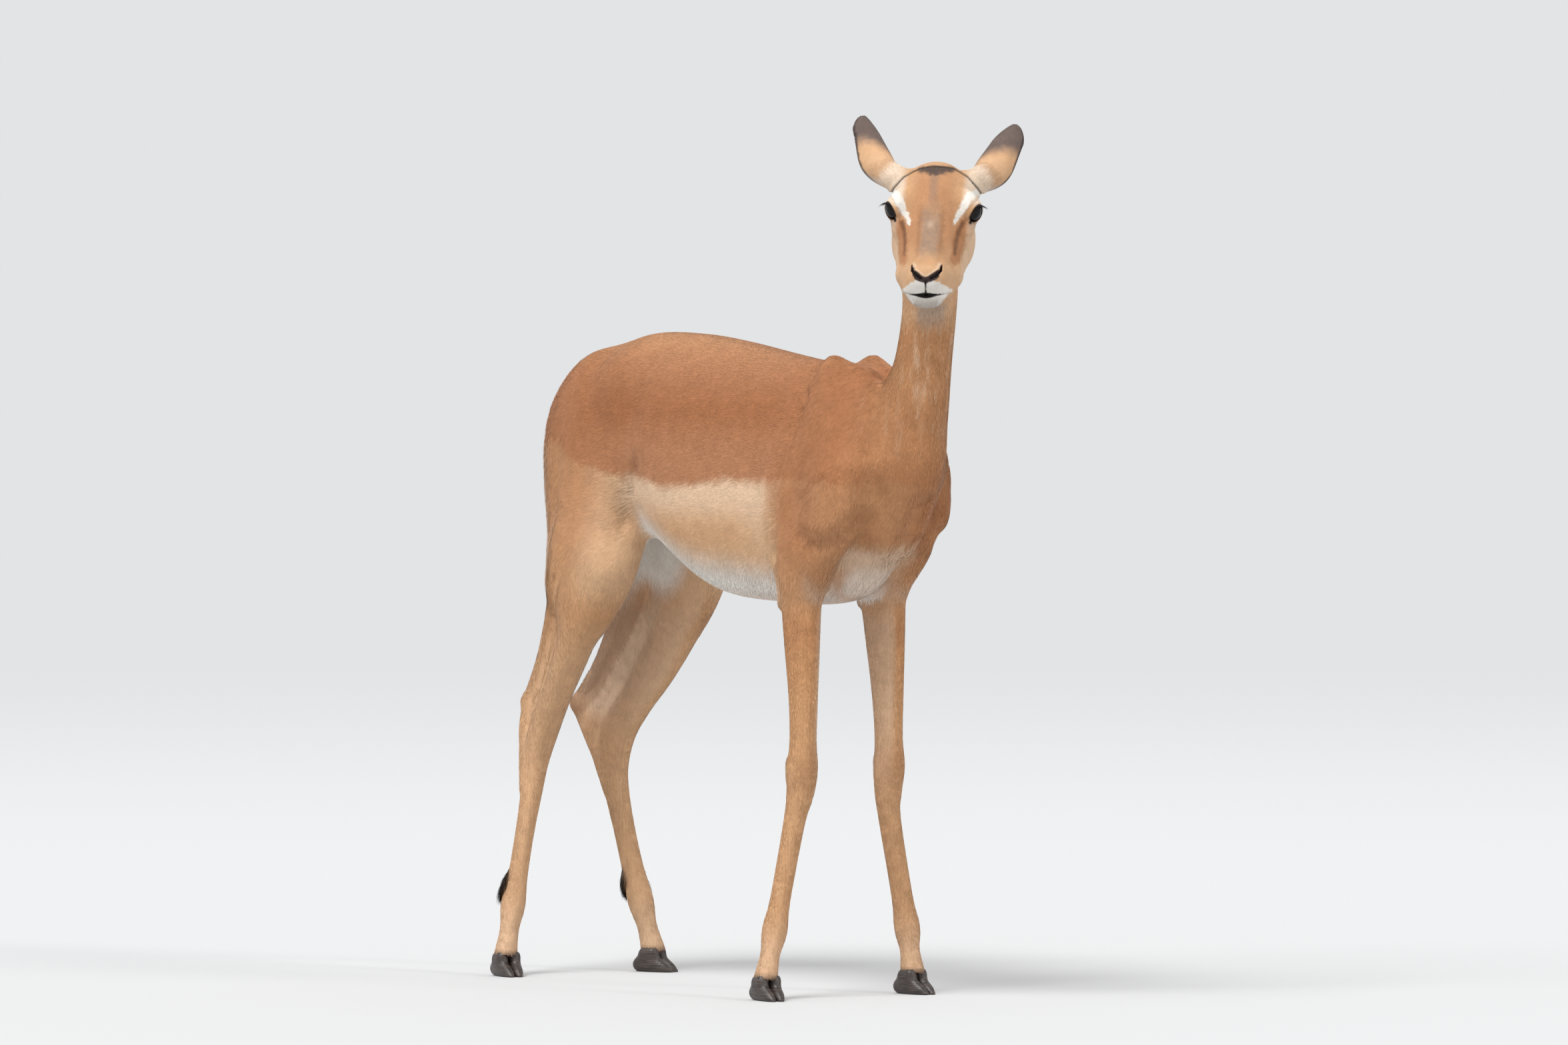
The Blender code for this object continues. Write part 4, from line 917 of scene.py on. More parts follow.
def tendon_paths():
    """Down the hollow in front of each heel's tendon, on its outer and its inner face."""
    for side in (1, -1):
        rows = stations(HIND_LEG[side], side)
        heel, cord = (at(f, side * out, u) for f, out, u in (HEEL[side], CORD[side]))
        stifle, knee, shin = (row[0] for row in rows[1:4])
        middle = (cord * 0.62 + stifle * 0.38, cord * 0.42 + heel * 0.34 + knee * 0.24,
                  heel * 0.58 + shin * 0.42 + at(0, 0, 0.016))
        for way in (-HOLLOW_APART, HOLLOW_APART):
            yield [point + way * outward("hind", side) for point in middle]

def creases(field):
    """A function that gives how deep the creases are, along lines laid on the field's surface."""
    paths = [(HOLLOW_DEPTH, HOLLOW_WIDTH, path) for path in tendon_paths()]
    for depth, width, *points in CREASES.values():
        for side in (1, -1):
            paths.append((depth, width, [at(f, side * out, u) for f, out, u in points]))
    ends = np.cumsum([len(path) for _, _, path in paths])[:-1]
    laid = np.split(settle(field, np.concatenate([path for _, _, path in paths]), rounds=12), ends)
    paths = [(depth, width, path) for (depth, width, _), path in zip(paths, laid)]
    boxes = [(np.min(path, 0) - 2.5 * width, np.max(path, 0) + 2.5 * width) for _, width, path in paths]
    def depth_at(p, d):
        total = np.zeros(len(p))
        for (depth, width, path), (low, high) in zip(paths, boxes):
            near = np.flatnonzero((np.abs(d) < 0.03) & (p > low).all(1) & (p < high).all(1))
            total[near] += depth * np.exp(-(path_distance(p[near], path) / width) ** 2)
        return total
    return depth_at

def skin_field(carved):
    """The skin of the whole animal, with its face and ears."""
    all_of_it, ears = whole(), [ear(1), ear(-1)]
    def distance(p):
        d = all_of_it(p)
        d = d + carved(p, d) + coat_depth(p, [e(p) for e in ears])
        return with_face(d, p).astype(np.float32)
    return distance

def body_skin_field(carved):
    """The skin below the head."""
    all_of_it, no_ears = whole(False), np.full(2, 1.0)
    def distance(p):
        d = all_of_it(p)
        return (d + carved(p, d) + coat_depth(p, no_ears)).astype(np.float32)
    return distance

NECK_SEAM, SEAM_GAP = 0.905, 0.004             # the height at which head and body are joined
# the head's grid lines to the left, back and up from between the eyes, and the body's
HEAD_ACROSS = spaced(-0.135, 0.135, 0.0027, (-0.064, -0.04, 0.0014), (0.04, 0.064, 0.0014),
                     (-0.022, 0.022, 0.0017))
HEAD_BACK = spaced(-0.185, 0.205, 0.0028, (-0.172, -0.135, 0.0013), (-0.018, 0.018, 0.0012))
HEAD_UP = spaced(-0.225, 0.165, 0.0028, (-0.04, 0.016, 0.0013))
HEAD_LINES = (HEAD_ACROSS, HEAD_BACK, HEAD_UP)
BODY_LINES = (spaced(-0.17, 0.17, 0.006), spaced(-0.5, 0.5, 0.0064),
              spaced(0.02, 0.96, 0.0064, (0.02, 0.13, 0.0042)))

def sheared(work, height, side):
    """Cuts away all that lies below the height, or above it where side is -1."""
    bmesh.ops.bisect_plane(work, geom=work.verts[:] + work.edges[:] + work.faces[:], plane_co=(0, 0, height),
                           plane_no=(0, 0, side), clear_inner=True, dist=1e-5)

def make_skin(field, body_field):
    """One closed skin: a head from a fine grid and a body from a coarser one, joined round the neck."""
    def from_head(q):
        return EYE_MIDPOINT + q @ HEAD
    def head_field(q):
        return field(from_head(q.astype(float)).astype(np.float32))
    head_points, head_quads = skin_net(head_field, HEAD_LINES)
    body_points, body_quads = skin_net(body_field, BODY_LINES)
    body_points = smoothed(body_points, body_quads, 5)
    work = bmesh.new()
    for points, quads, side in ((from_head(head_points), head_quads, 1), (body_points, body_quads, -1)):
        part = mesh_object("part", points, quads)
        extra = bmesh.new()
        extra.from_mesh(part.data)
        sheared(extra, NECK_SEAM + SEAM_GAP / 2 * side, side)
        if side < 0:
            sheared(extra, CORONET, 1)
        extra.to_mesh(part.data)
        extra.free()
        largest(part)
        work.from_mesh(part.data)
        bpy.data.objects.remove(part)
    rims = [e for e in work.edges if e.is_boundary]
    rims = [e for e in rims if all(abs(v.co.z - NECK_SEAM) < SEAM_GAP for v in e.verts)]
    bmesh.ops.bridge_loops(work, edges=rims)
    bmesh.ops.holes_fill(work, edges=[e for e in work.edges if e.is_boundary], sides=0)
    bmesh.ops.triangulate(work, faces=[f for f in work.faces if len(f.verts) > 4])
    bmesh.ops.recalc_face_normals(work, faces=work.faces)
    mesh = bpy.data.meshes.new("skin")
    work.to_mesh(mesh)
    work.free()
    make_smooth(mesh)
    return add_object("skin", mesh)

# ---- markings --------------------------------------------------------------
# Each mark is a colour and how much of it is laid. The amounts are ramps and bumps along f, l and u (forward,
# left and up, in metres), along the skin's facing n, and on the face along across, up and ahead.
WHITE, CREAM, FAWN, TAN = (0.78, 0.74, 0.68), (0.7, 0.52, 0.37), (0.61, 0.385, 0.225), (0.53, 0.28, 0.132)
RED, BROWN, BLACK, GREY = (0.375, 0.152, 0.066), (0.22, 0.08, 0.032), (0.018, 0.014, 0.013), (0.2, 0.16, 0.14)
# the last of these three colours is painted shade for the middle of the saddle's side
NOSE, EAR_FLUFF, SADDLE_SHADE = (0.04, 0.026, 0.025), (0.76, 0.63, 0.5), (0.28, 0.092, 0.028)
CROWN, THROAT_GREY, HOOF_EDGE = (0.05, 0.042, 0.042), (0.34, 0.29, 0.25), (0.1, 0.06, 0.045)
TEAR_RUST, TEAR_CORE = (0.4, 0.165, 0.066), (0.12, 0.055, 0.03)
EAR_TIP, EAR_RIM, EAR_INSIDE_TIP = (0.072, 0.06, 0.067), (0.045, 0.034, 0.036), (0.05, 0.04, 0.04)
EAR_HOLLOW, HOLLOW_LINE = (0.62, 0.5, 0.42), (0.2, 0.13, 0.11)

def grain(p, size, seed):
    """Smooth random values from 0 to 1 that change over about size metres."""
    q = np.asarray(p, float) / size + 100.0
    base = np.floor(q).astype(np.int64)
    t = q - base
    t = t * t * (3 - 2 * t)
    total = np.zeros(len(q))
    for corner in np.ndindex(2, 2, 2):
        k = base + corner
        h = (k[:, 0] * 73856093) ^ (k[:, 1] * 19349663) ^ (k[:, 2] * 83492791) ^ (seed * 2654435761)
        h = (h ^ (h >> 13)) * 1274126177
        value = ((h ^ (h >> 16)) & 0xFFFF) / 65535.0
        weight = np.prod(np.where(np.array(corner) == 1, t, 1 - t), axis=1)
        total += value * weight
    return total

class Layers:
    """Colours or directions at a set of points, laid one over another."""
    def __init__(self, p, value):
        self.value = np.tile(np.array(value), (len(p), 1))
    def lay(self, value, amount):
        """Lays one value, a value for each point, or other layers over these, by 0 to 1."""
        value = value.value if isinstance(value, Layers) else np.asarray(value)
        amount = np.clip(np.broadcast_to(amount, len(self.value)), 0, 1)[:, None]
        self.value = self.value * (1 - amount) + value * amount

def bump_at(x, centre, width):
    return np.exp(-((x - centre) / width) ** 2)

def mark_body(colour, p, n):
    """The red saddle, the fawn flank under it, the white belly and the breast."""
    f, l, u = -p[:, 1], p[:, 0], p[:, 2]
    side = np.abs(l)
    wave = (grain(p, 0.045, 1) - 0.5) * 0.014 + (grain(p, 0.012, 12) - 0.5) * 0.006
    wave = wave + (grain(p, 0.0045, 2) - 0.5) * 0.006
    # the pale flank, and the red saddle over it
    edge = 0.699 + 0.045 * ramp(f, -0.17, -0.36) - 0.01 * bump_at(f, 0.02, 0.08)
    colour.lay(CREAM, 0.65 * ramp(u, 0.6, 0.68) * ramp(f + wave, -0.165, -0.12)
               * ramp(f + 2.0 * wave, 0.245, 0.185))
    colour.lay(TAN, 0.8 * np.maximum(ramp(f + 2.0 * wave, 0.17, 0.235), ramp(f, -0.2, -0.26)))
    colour.lay(TAN, 0.55 * bump_at(u, 0.63, 0.028) * ramp(f, -0.2, -0.1) * ramp(f, 0.18, 0.1))
    saddle = ramp(u + wave, edge - 0.008, edge + 0.01)
    colour.lay(RED, 0.9 * saddle)
    colour.lay(TAN, 0.45 * saddle * ramp(u, 0.84, 0.9))
    # painted shade: a darker red band along the middle of the saddle's side
    colour.lay(SADDLE_SHADE, 0.5 * saddle * bump_at(u, 0.795, 0.042) * ramp(f, -0.3, -0.2) * ramp(f, 0.26, 0.16))
    colour.lay(BROWN, 0.3 * saddle * ramp(side, 0.022, 0.006) * ramp(f, 0.3, 0.2))
    # the shoulder and upper foreleg carry the red down, with less of it on the front of the lit right side as
    # painted light
    down = ramp(f + 2.0 * wave, 0.18, 0.24) * ramp(u, 0.5, 0.64)
    colour.lay(RED, 0.75 * down * (1 - saddle) * (1 - 0.3 * ramp(f, 0.29, 0.33) * ramp(l, 0.02, -0.03)))
    # the thigh fades to tan
    thigh = ramp(f, -0.16, -0.22) * ramp(u, 0.5, 0.7)
    colour.lay(RED, 0.45 * thigh * (1 - saddle))
    # the white of the belly, and its edge
    under = 0.612 - 0.05 * ramp(f, -0.14, 0.12) + wave * 0.6
    white = ramp(u, under + 0.006, under - 0.008) * ramp(f, -0.175, -0.145) * ramp(f, 0.215, 0.17)
    below = ramp(-n[:, 2], 0.25, 0.7) * ramp(u, 0.72, 0.66) * ramp(f, -0.24, -0.17)
    white = np.maximum(white, below * ramp(f, 0.3, 0.24) * ramp(u, 0.5, 0.53))
    # between the forelegs
    brisket = ramp(side + wave, 0.048, 0.026) * ramp(f, 0.24, 0.29) * ramp(u, 0.615, 0.57)
    white = np.maximum(white, 0.7 * brisket)
    # between the thighs
    inner_thigh = ramp(side, 0.05, 0.035) * ramp(f, -0.16, -0.22) * ramp(u, 0.75, 0.6) * ramp(u, 0.38, 0.46)
    inner_thigh = inner_thigh * ramp(-n[:, 0] * np.sign(l), -0.2, 0.3) * ramp(f, -0.4, -0.36)
    white = np.maximum(white, inner_thigh)
    outer_thigh = ramp(f, -0.12, -0.148) * ramp(side, 0.045, 0.06)
    colour.lay(WHITE, white * (1 - outer_thigh))
    # painted shade darkens the front of the breast on its shadowed left side, and the breast is pale below
    colour.lay(BROWN, 0.26 * ramp(f, 0.28, 0.34) * bump_at(u, 0.69, 0.06) * ramp(l, -0.04, 0.01))
    pale = ramp(side + wave, 0.07, 0.045) * ramp(f, 0.275, 0.32) * ramp(u + wave, 0.628, 0.6)
    colour.lay(CREAM, 0.8 * pale * (1 - white))
    # the shadowed fold where the flank meets the thigh
    fold = [at(*point) for point in CREASES["fold of the flank"][2:]]
    from_fold = path_distance(np.column_stack((side, p[:, 1:])), fold)
    colour.lay(BROWN, 0.28 * bump_at(from_fold, 0.0, 0.01))

def mark_legs(colour, p, n):
    """Tan legs, pale inside, with darker knees and coronets, painted shade on the hind tendons, and the dark
    gland tufts.
    """
    f, l, u = -p[:, 1], p[:, 0], p[:, 2]
    on_leg = ramp(u, 0.56, 0.5)
    inward = ramp(-n[:, 0] * np.sign(l), 0.1, 0.75)
    fore = f > -0.05
    tan = Layers(p, TAN)
    tan.lay(FAWN, np.where(fore, 0.35 * ramp(u, 0.46, 0.25), 0.7 * ramp(u, 0.56, 0.42)))
    tan.lay(RED, np.where(fore, 0.45, 0.1) * ramp(u, 0.4, 0.52))
    up_the_leg = np.where(fore, ramp(u, 0.22, 0.42), ramp(u, 0.3, 0.42))
    tan.lay(CREAM, np.where(fore, 0.55, 0.42) * inward * up_the_leg)
    tan.lay(BROWN, 0.25 * np.where(fore, bump_at(u, 0.315, 0.03), 0.0) * ramp(-n[:, 1], 0.2, 0.9))
    tan.lay(CREAM, 0.35 * ramp(u, 0.13, 0.05))
    tan.lay(HOOF_EDGE, 0.8 * ramp(u, 0.04, 0.03))
    # painted shadow along the hollow in front of each heel's tendon and painted shade on the tendon's inner
    # face, with pale coat on the inner face beside the hollow
    for path in tendon_paths():
        from_hollow = path_distance(p, path)
        tan.lay(CREAM, 0.55 * inward * bump_at(from_hollow, 0.024, 0.014) * ramp(u, 0.3, 0.36))
        tan.lay(BROWN, 0.42 * bump_at(from_hollow, 0.0, 0.007))
    # painted shade on the inner face of each heel's tendon
    for side in (1, -1):
        heel, cord = (at(forward, side * out, up) for forward, out, up in (HEEL[side], CORD[side]))
        on_tendon = ramp(limb(heel, cord, 0.015, 0.03)(p), 0.01, 0.002)
        tan.lay(BROWN, 0.42 * inward * on_tendon)
    # the dark gland tufts behind the hind fetlocks
    for side in (1, -1):
        spot = np.linalg.norm(p - gland_place(side), axis=1)
        tan.lay(BLACK, ramp(spot, 0.025, 0.017) * ramp(n[:, 1], -0.3, 0.2))
    colour.lay(tan, on_leg)

def gland_place(side):
    return foot("hind", side)[0] + at(-0.018, 0, 0.034)

def tail_share(p):
    """1 on the tail, 0 on the thighs beside it."""
    f, side, u = -p[:, 1], np.abs(p[:, 0]), p[:, 2]
    wide = 0.026 + 0.018 * ramp(u, 0.5, 0.54)
    return ramp(f, -0.4, -0.413) * ramp(side, wide, wide - 0.008) * ramp(u, 0.44, 0.46)

def mark_rump(colour, p, n):
    """White buttocks with a black line down each side, and a black line down the tail."""
    f, l, u = -p[:, 1], p[:, 0], p[:, 2]
    side = np.abs(l)
    behind = ramp(n[:, 1], 0.25, 0.65) * ramp(f, -0.27, -0.31)
    wave = (grain(p, 0.008, 5) - 0.5) * 0.006
    edge = ramp(n[:, 1], 0.2, 0.7) * ramp(f, -0.26, -0.32) * ramp(u, 0.55, 0.61) * ramp(u, 0.78, 0.72)
    colour.lay(CREAM, 0.7 * edge)
    white = behind * ramp(side + wave, 0.044, 0.037) * ramp(u, 0.5, 0.6) * ramp(u, 0.845, 0.8)
    colour.lay(WHITE, white)
    stripe = behind * ramp(n[:, 1], 0.5, 0.75) * bump_at(side + wave, 0.051, 0.007)
    stripe = stripe * ramp(u, 0.53, 0.6) * ramp(u, 0.84, 0.79)
    colour.lay(BLACK, 1.25 * stripe)
    on_tail = tail_share(p)
    tail_line = Layers(p, WHITE)
    tail_line.lay(RED, ramp(u, 0.755, 0.79))
    tail_line.lay(BLACK, ramp(np.abs(l - 0.004) + wave, 0.0075, 0.005) * ramp(n[:, 1], 0.0, 0.4)
                  * ramp(u, 0.515, 0.545))
    colour.lay(tail_line, on_tail)

# lines on the face: across, up and half width
BROW = ((0.056, 0.0225, 0.0036), (0.0495, 0.0185, 0.005), (0.043, 0.007, 0.0048), (0.0355, -0.006, 0.0038),
        (0.03, -0.0185, 0.0016))
TEAR = ((0.0415, -0.019, 0.001), (0.0385, -0.03, 0.0022), (0.0365, -0.05, 0.0026), (0.0345, -0.068, 0.0008))
TEAR_LINE = ((0.04, -0.018, 0.0018), (0.0358, -0.029, 0.0014), (0.0338, -0.042, 0.001),
        (0.033, -0.06, 0.0003))

NOT_BARE = 0.01                                # the distance given where there is no bare skin about

def naked(q, high):
    """How far points of the face are from the bare skin of nose, mouth and lids; under 0 on it."""
    across, up, ahead = front(q, high)
    wide = np.abs(across)
    nostril = line_distance(wide, up, NOSTRIL) - 0.0024 * ramp(wide, 0.019, 0.014) - 0.0004
    nose = np.minimum(nostril, line_distance(wide, up, NOSE_PAD))
    nose = np.minimum(nose, line_distance(across, up, PHILTRUM))
    nose = np.where(ahead > 0.122, nose, NOT_BARE)
    # the mouth's black edge, widened in the middle by painted shadow where the lips part
    dark = 0.0002 + 0.0036 * np.exp(-(across / 0.013) ** 2)
    parting = np.abs(up - mouth_level(across, ahead) + 0.0014) - dark
    parting = np.where(ahead > 0.121, parting, NOT_BARE)
    rim = np.full(len(q), NOT_BARE)
    for side in (1, -1):
        r = to_eye(q, side)
        gap = lid_gap(r[:, 0], r[:, 1])
        corner = np.hypot((r[:, 0] - 0.0155) / 1.6, r[:, 1] + 0.001) - 0.002
        edge = np.minimum(gap - 0.0006 - 0.0014 * ramp(r[:, 1], -0.002, 0.006), corner)
        rim = np.minimum(rim, np.where((length(r) < 0.03) & (r[:, 2] > -0.002), edge, NOT_BARE))
    return nose, parting, rim

def line_height(wide, rows):
    """How high a line on the face lies at points so far from the middle."""
    return np.interp(wide, [row[0] for row in rows], [row[1] for row in rows])

def crest_gap(p):
    """How far points of the brow are from the thin black line of painted shadow round the crown; under 0 on
    it.
    """
    across, up, ahead = front(to_head(p), p[:, 2])
    return np.where(ahead > -0.075, line_distance(np.abs(across), up, CREST) - 0.001, NOT_BARE)

def mark_head(colour, p):
    """The face: bridge, cheeks, tear lines, muzzle, brows, crown and throat."""
    q = to_head(p)
    across, up, ahead = front(q, p[:, 2])
    wide = np.abs(across)
    wave = (grain(p, 0.004, 7) - 0.5) * 0.0035 + (grain(p, 0.0016, 8) - 0.5) * 0.0016
    face = Layers(p, TAN)
    face.lay(FAWN, 0.35 + 0.45 * ramp(wide, 0.02, 0.045) * ramp(up, -0.02, -0.06))
    face.lay(RED, 0.42 * ramp(wide, 0.034, 0.016) * ramp(up, -0.03, 0.02))
    face.lay(RED, 0.55 * bump_at(wide, 0.025, 0.009) * bump_at(up, -0.028, 0.03))
    # the grey bridge of the nose, brown beside it
    blur = (grain(p, 0.009, 9) - 0.5) * 0.01
    bridge = ramp(up + blur, -0.072, -0.048) * ramp(up + blur, 0.014, -0.016)
    mottled = 0.6 + 0.3 * (grain(p, 0.0035, 10) - 0.5)
    face.lay(GREY, mottled * ramp(wide + wave * 2 + blur * 0.4, 0.019, 0.0075) * bridge)
    face.lay(BROWN, 0.46 * bump_at(wide + wave, 0.015, 0.0042) * bridge)
    face.lay(GREY, 0.38 * ramp(wide + wave, 0.009, 0.002) * ramp(up, -0.004, 0.02) * ramp(up, 0.052, 0.04))
    # the pale cheek, and the rusty line down from the eye's corner
    cheek = ramp(wide, 0.039, 0.045) * ramp(up, -0.012, -0.024)
    face.lay(CREAM, 0.52 * cheek)
    face.lay(GREY, 0.4 * ramp(wide, 0.034, 0.044) * bump_at(up, -0.0195, 0.007) * ramp(ahead, -0.02, 0.0))
    tear = line_distance(wide, up, TEAR) + wave
    face.lay(TEAR_RUST, 0.8 * ramp(tear, 0.008, 0.002) * ramp(ahead, 0.0, 0.02))
    face.lay(CREAM, 0.4 * bump_at(np.hypot(wide, up + 0.0205), 0.0, 0.0045))
    face.lay(TEAR_CORE, 0.72 * ramp(line_distance(wide, up, TEAR_LINE) + 0.4 * wave, 0.0034, -0.0008)
             * ramp(ahead, 0.0, 0.02))
    # the white lips and chin, and the white above the eye
    muzzle = ramp(ahead, 0.118, 0.135) * ramp(up, -0.07, -0.078)
    face.lay(FAWN, 0.6 * muzzle)
    level = mouth_level(across, ahead)
    lip_top = -0.0925 - 12.5 * wide ** 2 - 0.0045 * bump_at(wide, 0.0, 0.004)
    lips = ramp(up + wave, lip_top + 0.0018, lip_top - 0.0018) * ramp(ahead, 0.104, 0.116)
    lips = lips * ramp(up, level - 0.001, level)
    chin = ramp(up, level + 0.001, level - 0.001) * ramp(ahead, 0.055, 0.085)
    chin *= ramp(wide + wave, 0.0325 + 0.75 * (up - level), 0.027 + 0.75 * (up - level))
    face.lay(WHITE, np.maximum(lips * ramp(wide, 0.04, 0.034), chin))
    face.lay(GREY, 0.45 * chin * ramp(up, level - 0.008, level - 0.019))
    face.lay(EAR_FLUFF, 0.85 * ramp(wide, 0.034, 0.046) * ramp(up, 0.0, 0.012) * ramp(ahead, -0.085, -0.06))
    face.lay(WHITE, 0.97 * ramp(line_distance(wide, up, BROW) + wave, 0.0014, -0.0006)
             * ramp(ahead, -0.055, -0.04))
    # the bare nose, with a painted highlight along the top of each nostril, and the edges of the mouth
    nose, parting, rim = naked(q, p[:, 2])
    # painted highlight: a cream line along the lit rim over each nostril
    over_nostril = ramp(up - line_height(wide, NOSTRIL[::-1]), 0.0, 0.001) * ramp(wide, 0.0195, 0.018)
    face.lay(CREAM, 0.7 * bump_at(nose, 0.0014, 0.0012) * over_nostril * ramp(up, -0.0935, -0.0885)
             * ramp(ahead, 0.12, 0.13))
    face.lay(NOSE, ramp(nose + wave * 0.3, 0.0006, -0.0006))
    # the mouth's edge is black, and painted shadow widens it in the middle where the lips part
    face.lay(BLACK, ramp(parting, 0.0008, -0.0004) * (0.3 + 0.65 * ramp(wide, 0.03, 0.018)))
    # behind the brow, and the dark patch in front of it, with a thin black line of painted shadow along the
    # crease round the crown
    crest = line_distance(wide, up, CREST)
    above = ramp(up - line_height(wide, CREST), -0.001, 0.002)
    face.lay(FAWN, 0.8 * above * ramp(ahead, -0.1, -0.05))
    face.lay(EAR_FLUFF, 0.75 * above * ramp(wide, 0.036, 0.05) * ramp(ahead, -0.11, -0.08))
    patch = ramp(wide + wave * 2, 0.034, 0.023) * ramp(up - 0.28 * wide + wave * 1.5, 0.0405, 0.0475)
    patch = patch * (1 - above)
    face.lay(CROWN, 0.9 * patch * ramp(ahead, -0.1, -0.06))
    # painted shadow: a thin black line along the crease round the crown
    face.lay(BLACK, 0.9 * ramp(crest, 0.0019, 0.0008) * (1 - above * 0.5) * ramp(ahead, -0.09, -0.06)
             * ramp(up, 0.016, 0.024))
    # pale rings round dark lids
    for side in (1, -1):
        r = to_eye(q, side)
        gap = lid_gap(r[:, 0], r[:, 1])
        pale = bump_at(gap, 0.0048, 0.0016) * ramp(r[:, 2], 0.0, 0.005) * (length(r) < 0.032)
        face.lay(CREAM, 0.45 * pale * ramp(r[:, 1], 0.004, -0.004))
    face.lay(BLACK, ramp(rim, 0.0007, -0.0003))
    # throat
    throat = ramp(ahead, 0.1, 0.05) * ramp(up, -0.085, -0.1)
    face.lay(CREAM, 0.45 * throat * ramp(wide, 0.034, 0.016) * ramp(p[:, 2], 0.9, 0.95))
    face.lay(THROAT_GREY, 0.6 * ramp(up, -0.112, -0.125) * ramp(up, -0.165, -0.15)
             * ramp(wide + 3 * wave, 0.024, 0.012) * ramp(ahead, -0.01, 0.02))
    on_head = ramp(p[:, 2], 0.898, 0.935)
    colour.lay(face, on_head)

def ear_edge(x, y, t):
    """How far, round the curl of an ear, points lie from its open edges."""
    reach, radius = ear_curl(np.clip(t, 0, 1))
    return radius * (reach - np.arctan2(np.abs(x), radius - y))

def mark_ears(colour, p, n, near):
    """Dark tips and rims and pale hollows; near: how far each point is from the left and the right ear."""
    for side, d in zip((1, -1), near):
        root, axis, opening, side_way = ear_frame(side)
        q = p - root
        t = (q @ axis) / EAR_LENGTH
        x, inside = q @ side_way, n @ opening
        on_ear = ramp(d, 0.0045, 0.0012) * ramp(t, -0.02, 0.1)
        wave = (grain(p, 0.006, 11) - 0.5) * 0.05
        inward = -x * side * np.sign((at(0, 1, 0) @ LEVEL_HEAD) @ side_way)
        half = EAR_HALF_WIDTH * 0.8
        out = Layers(p, FAWN)
        out.lay(TAN, 0.35 * bump_at(t, 0.5, 0.2))
        out.lay(EAR_FLUFF, 0.8 * ramp(t + wave - 0.08 * inward / half, 0.21, 0.07))
        out.lay(EAR_TIP, 0.88 * ramp(t + wave + 0.12 * inward / half, 0.36, 0.64))
        edge = ramp(ear_edge(x, q @ opening, t) + wave * 0.04, 0.0042, 0.0016)
        edge = edge * np.where(inward > 0, ramp(t, 0.35, 0.55), ramp(t, 0.05, 0.25))
        out.lay(EAR_RIM, 0.85 * edge)
        hollow = ramp(inside, 0.05, 0.45)
        inner = Layers(p, EAR_HOLLOW)
        inner.lay(HOLLOW_LINE, 0.7 * bump_at(np.abs(x), 0.009, 0.0035) * ramp(t, 0.15, 0.3)
                  * ramp(t, 0.92, 0.8))
        inner.lay(EAR_INSIDE_TIP, 0.85 * np.maximum(ramp(t, 0.86, 0.95), edge * 0.8))
        out.lay(inner, hollow)
        colour.lay(out, on_ear)

def mark_neck(colour, p, n):
    """The neck, with pale streaks down its front."""
    f, u = -p[:, 1], p[:, 2]
    neck = Layers(p, TAN)
    neck.lay(RED, 0.36 + 0.2 * ramp(u, 0.86, 0.76))
    streak = 0.6 * grain(p * (1, 1, 0.12), 0.003, 3) + 0.4 * grain(p * (1, 1, 0.1), 0.007, 4)
    neck.lay(CREAM, 0.42 * ramp(streak, 0.5, 0.8) * ramp(-n[:, 1], -0.2, 0.6) * ramp(u, 0.7, 0.85))
    colour.lay(neck, ramp(f, 0.33, 0.4) * ramp(u, 0.66, 0.76) * ramp(u, 0.99, 0.94))

def colours(p, n, near_ears):
    """The coat's colour at points with these normals."""
    colour = Layers(p, FAWN)
    mark_body(colour, p, n)
    mark_legs(colour, p, n)
    mark_rump(colour, p, n)
    mark_neck(colour, p, n)
    mark_head(colour, p)
    mark_ears(colour, p, n, near_ears)
    return np.clip(colour.value, 0, 1)

# ---- the lie of the coat ---------------------------------------------------
def lie_of_coat(p, n, near_ears):
    """The direction, along the skin, from the root of a hair to its tip."""
    f, u = -p[:, 1], p[:, 2]
    way = Layers(p, at(-1, 0, -0.3))
    way.lay(at(-0.45, 0, -1), ramp(u, 0.66, 0.54))
    way.lay(at(-0.35, 0, -1), ramp(f, -0.26, -0.34) * ramp(u, 0.84, 0.7))
    way.lay(at(-0.45, 0, -1), ramp(f, 0.24, 0.34))
    way.lay(at(0.0, 0, -1), ramp(u, 0.56, 0.5))
    way.lay(at(-0.15, 0, -1), ramp(f, 0.34, 0.4) * ramp(u, 0.74, 0.84))
    way.lay(at(-0.05, 0, -1), ramp(f, -0.405, -0.42))
    # back over the face, and away from its middle
    q = to_head(p)
    away = np.column_stack((q[:, 0] * 3.0, np.ones(len(q)), -0.35 + q[:, 2] * 2.0)) @ HEAD
    way.lay(away, ramp(u, 0.93, 0.98))
    for side, d in zip((1, -1), near_ears):
        way.lay(ear_frame(side)[1], ramp(d, 0.01, 0.002))
    way = way.value
    way = way - (way * n).sum(1)[:, None] * n
    return unit(way + 1e-9)

# ---- tufts -----------------------------------------------------------------
FLANK_TUFT = (0.0105, 0.00076, 0.0003, 1.0)    # length, width, height at its tip, and how thickly they grow

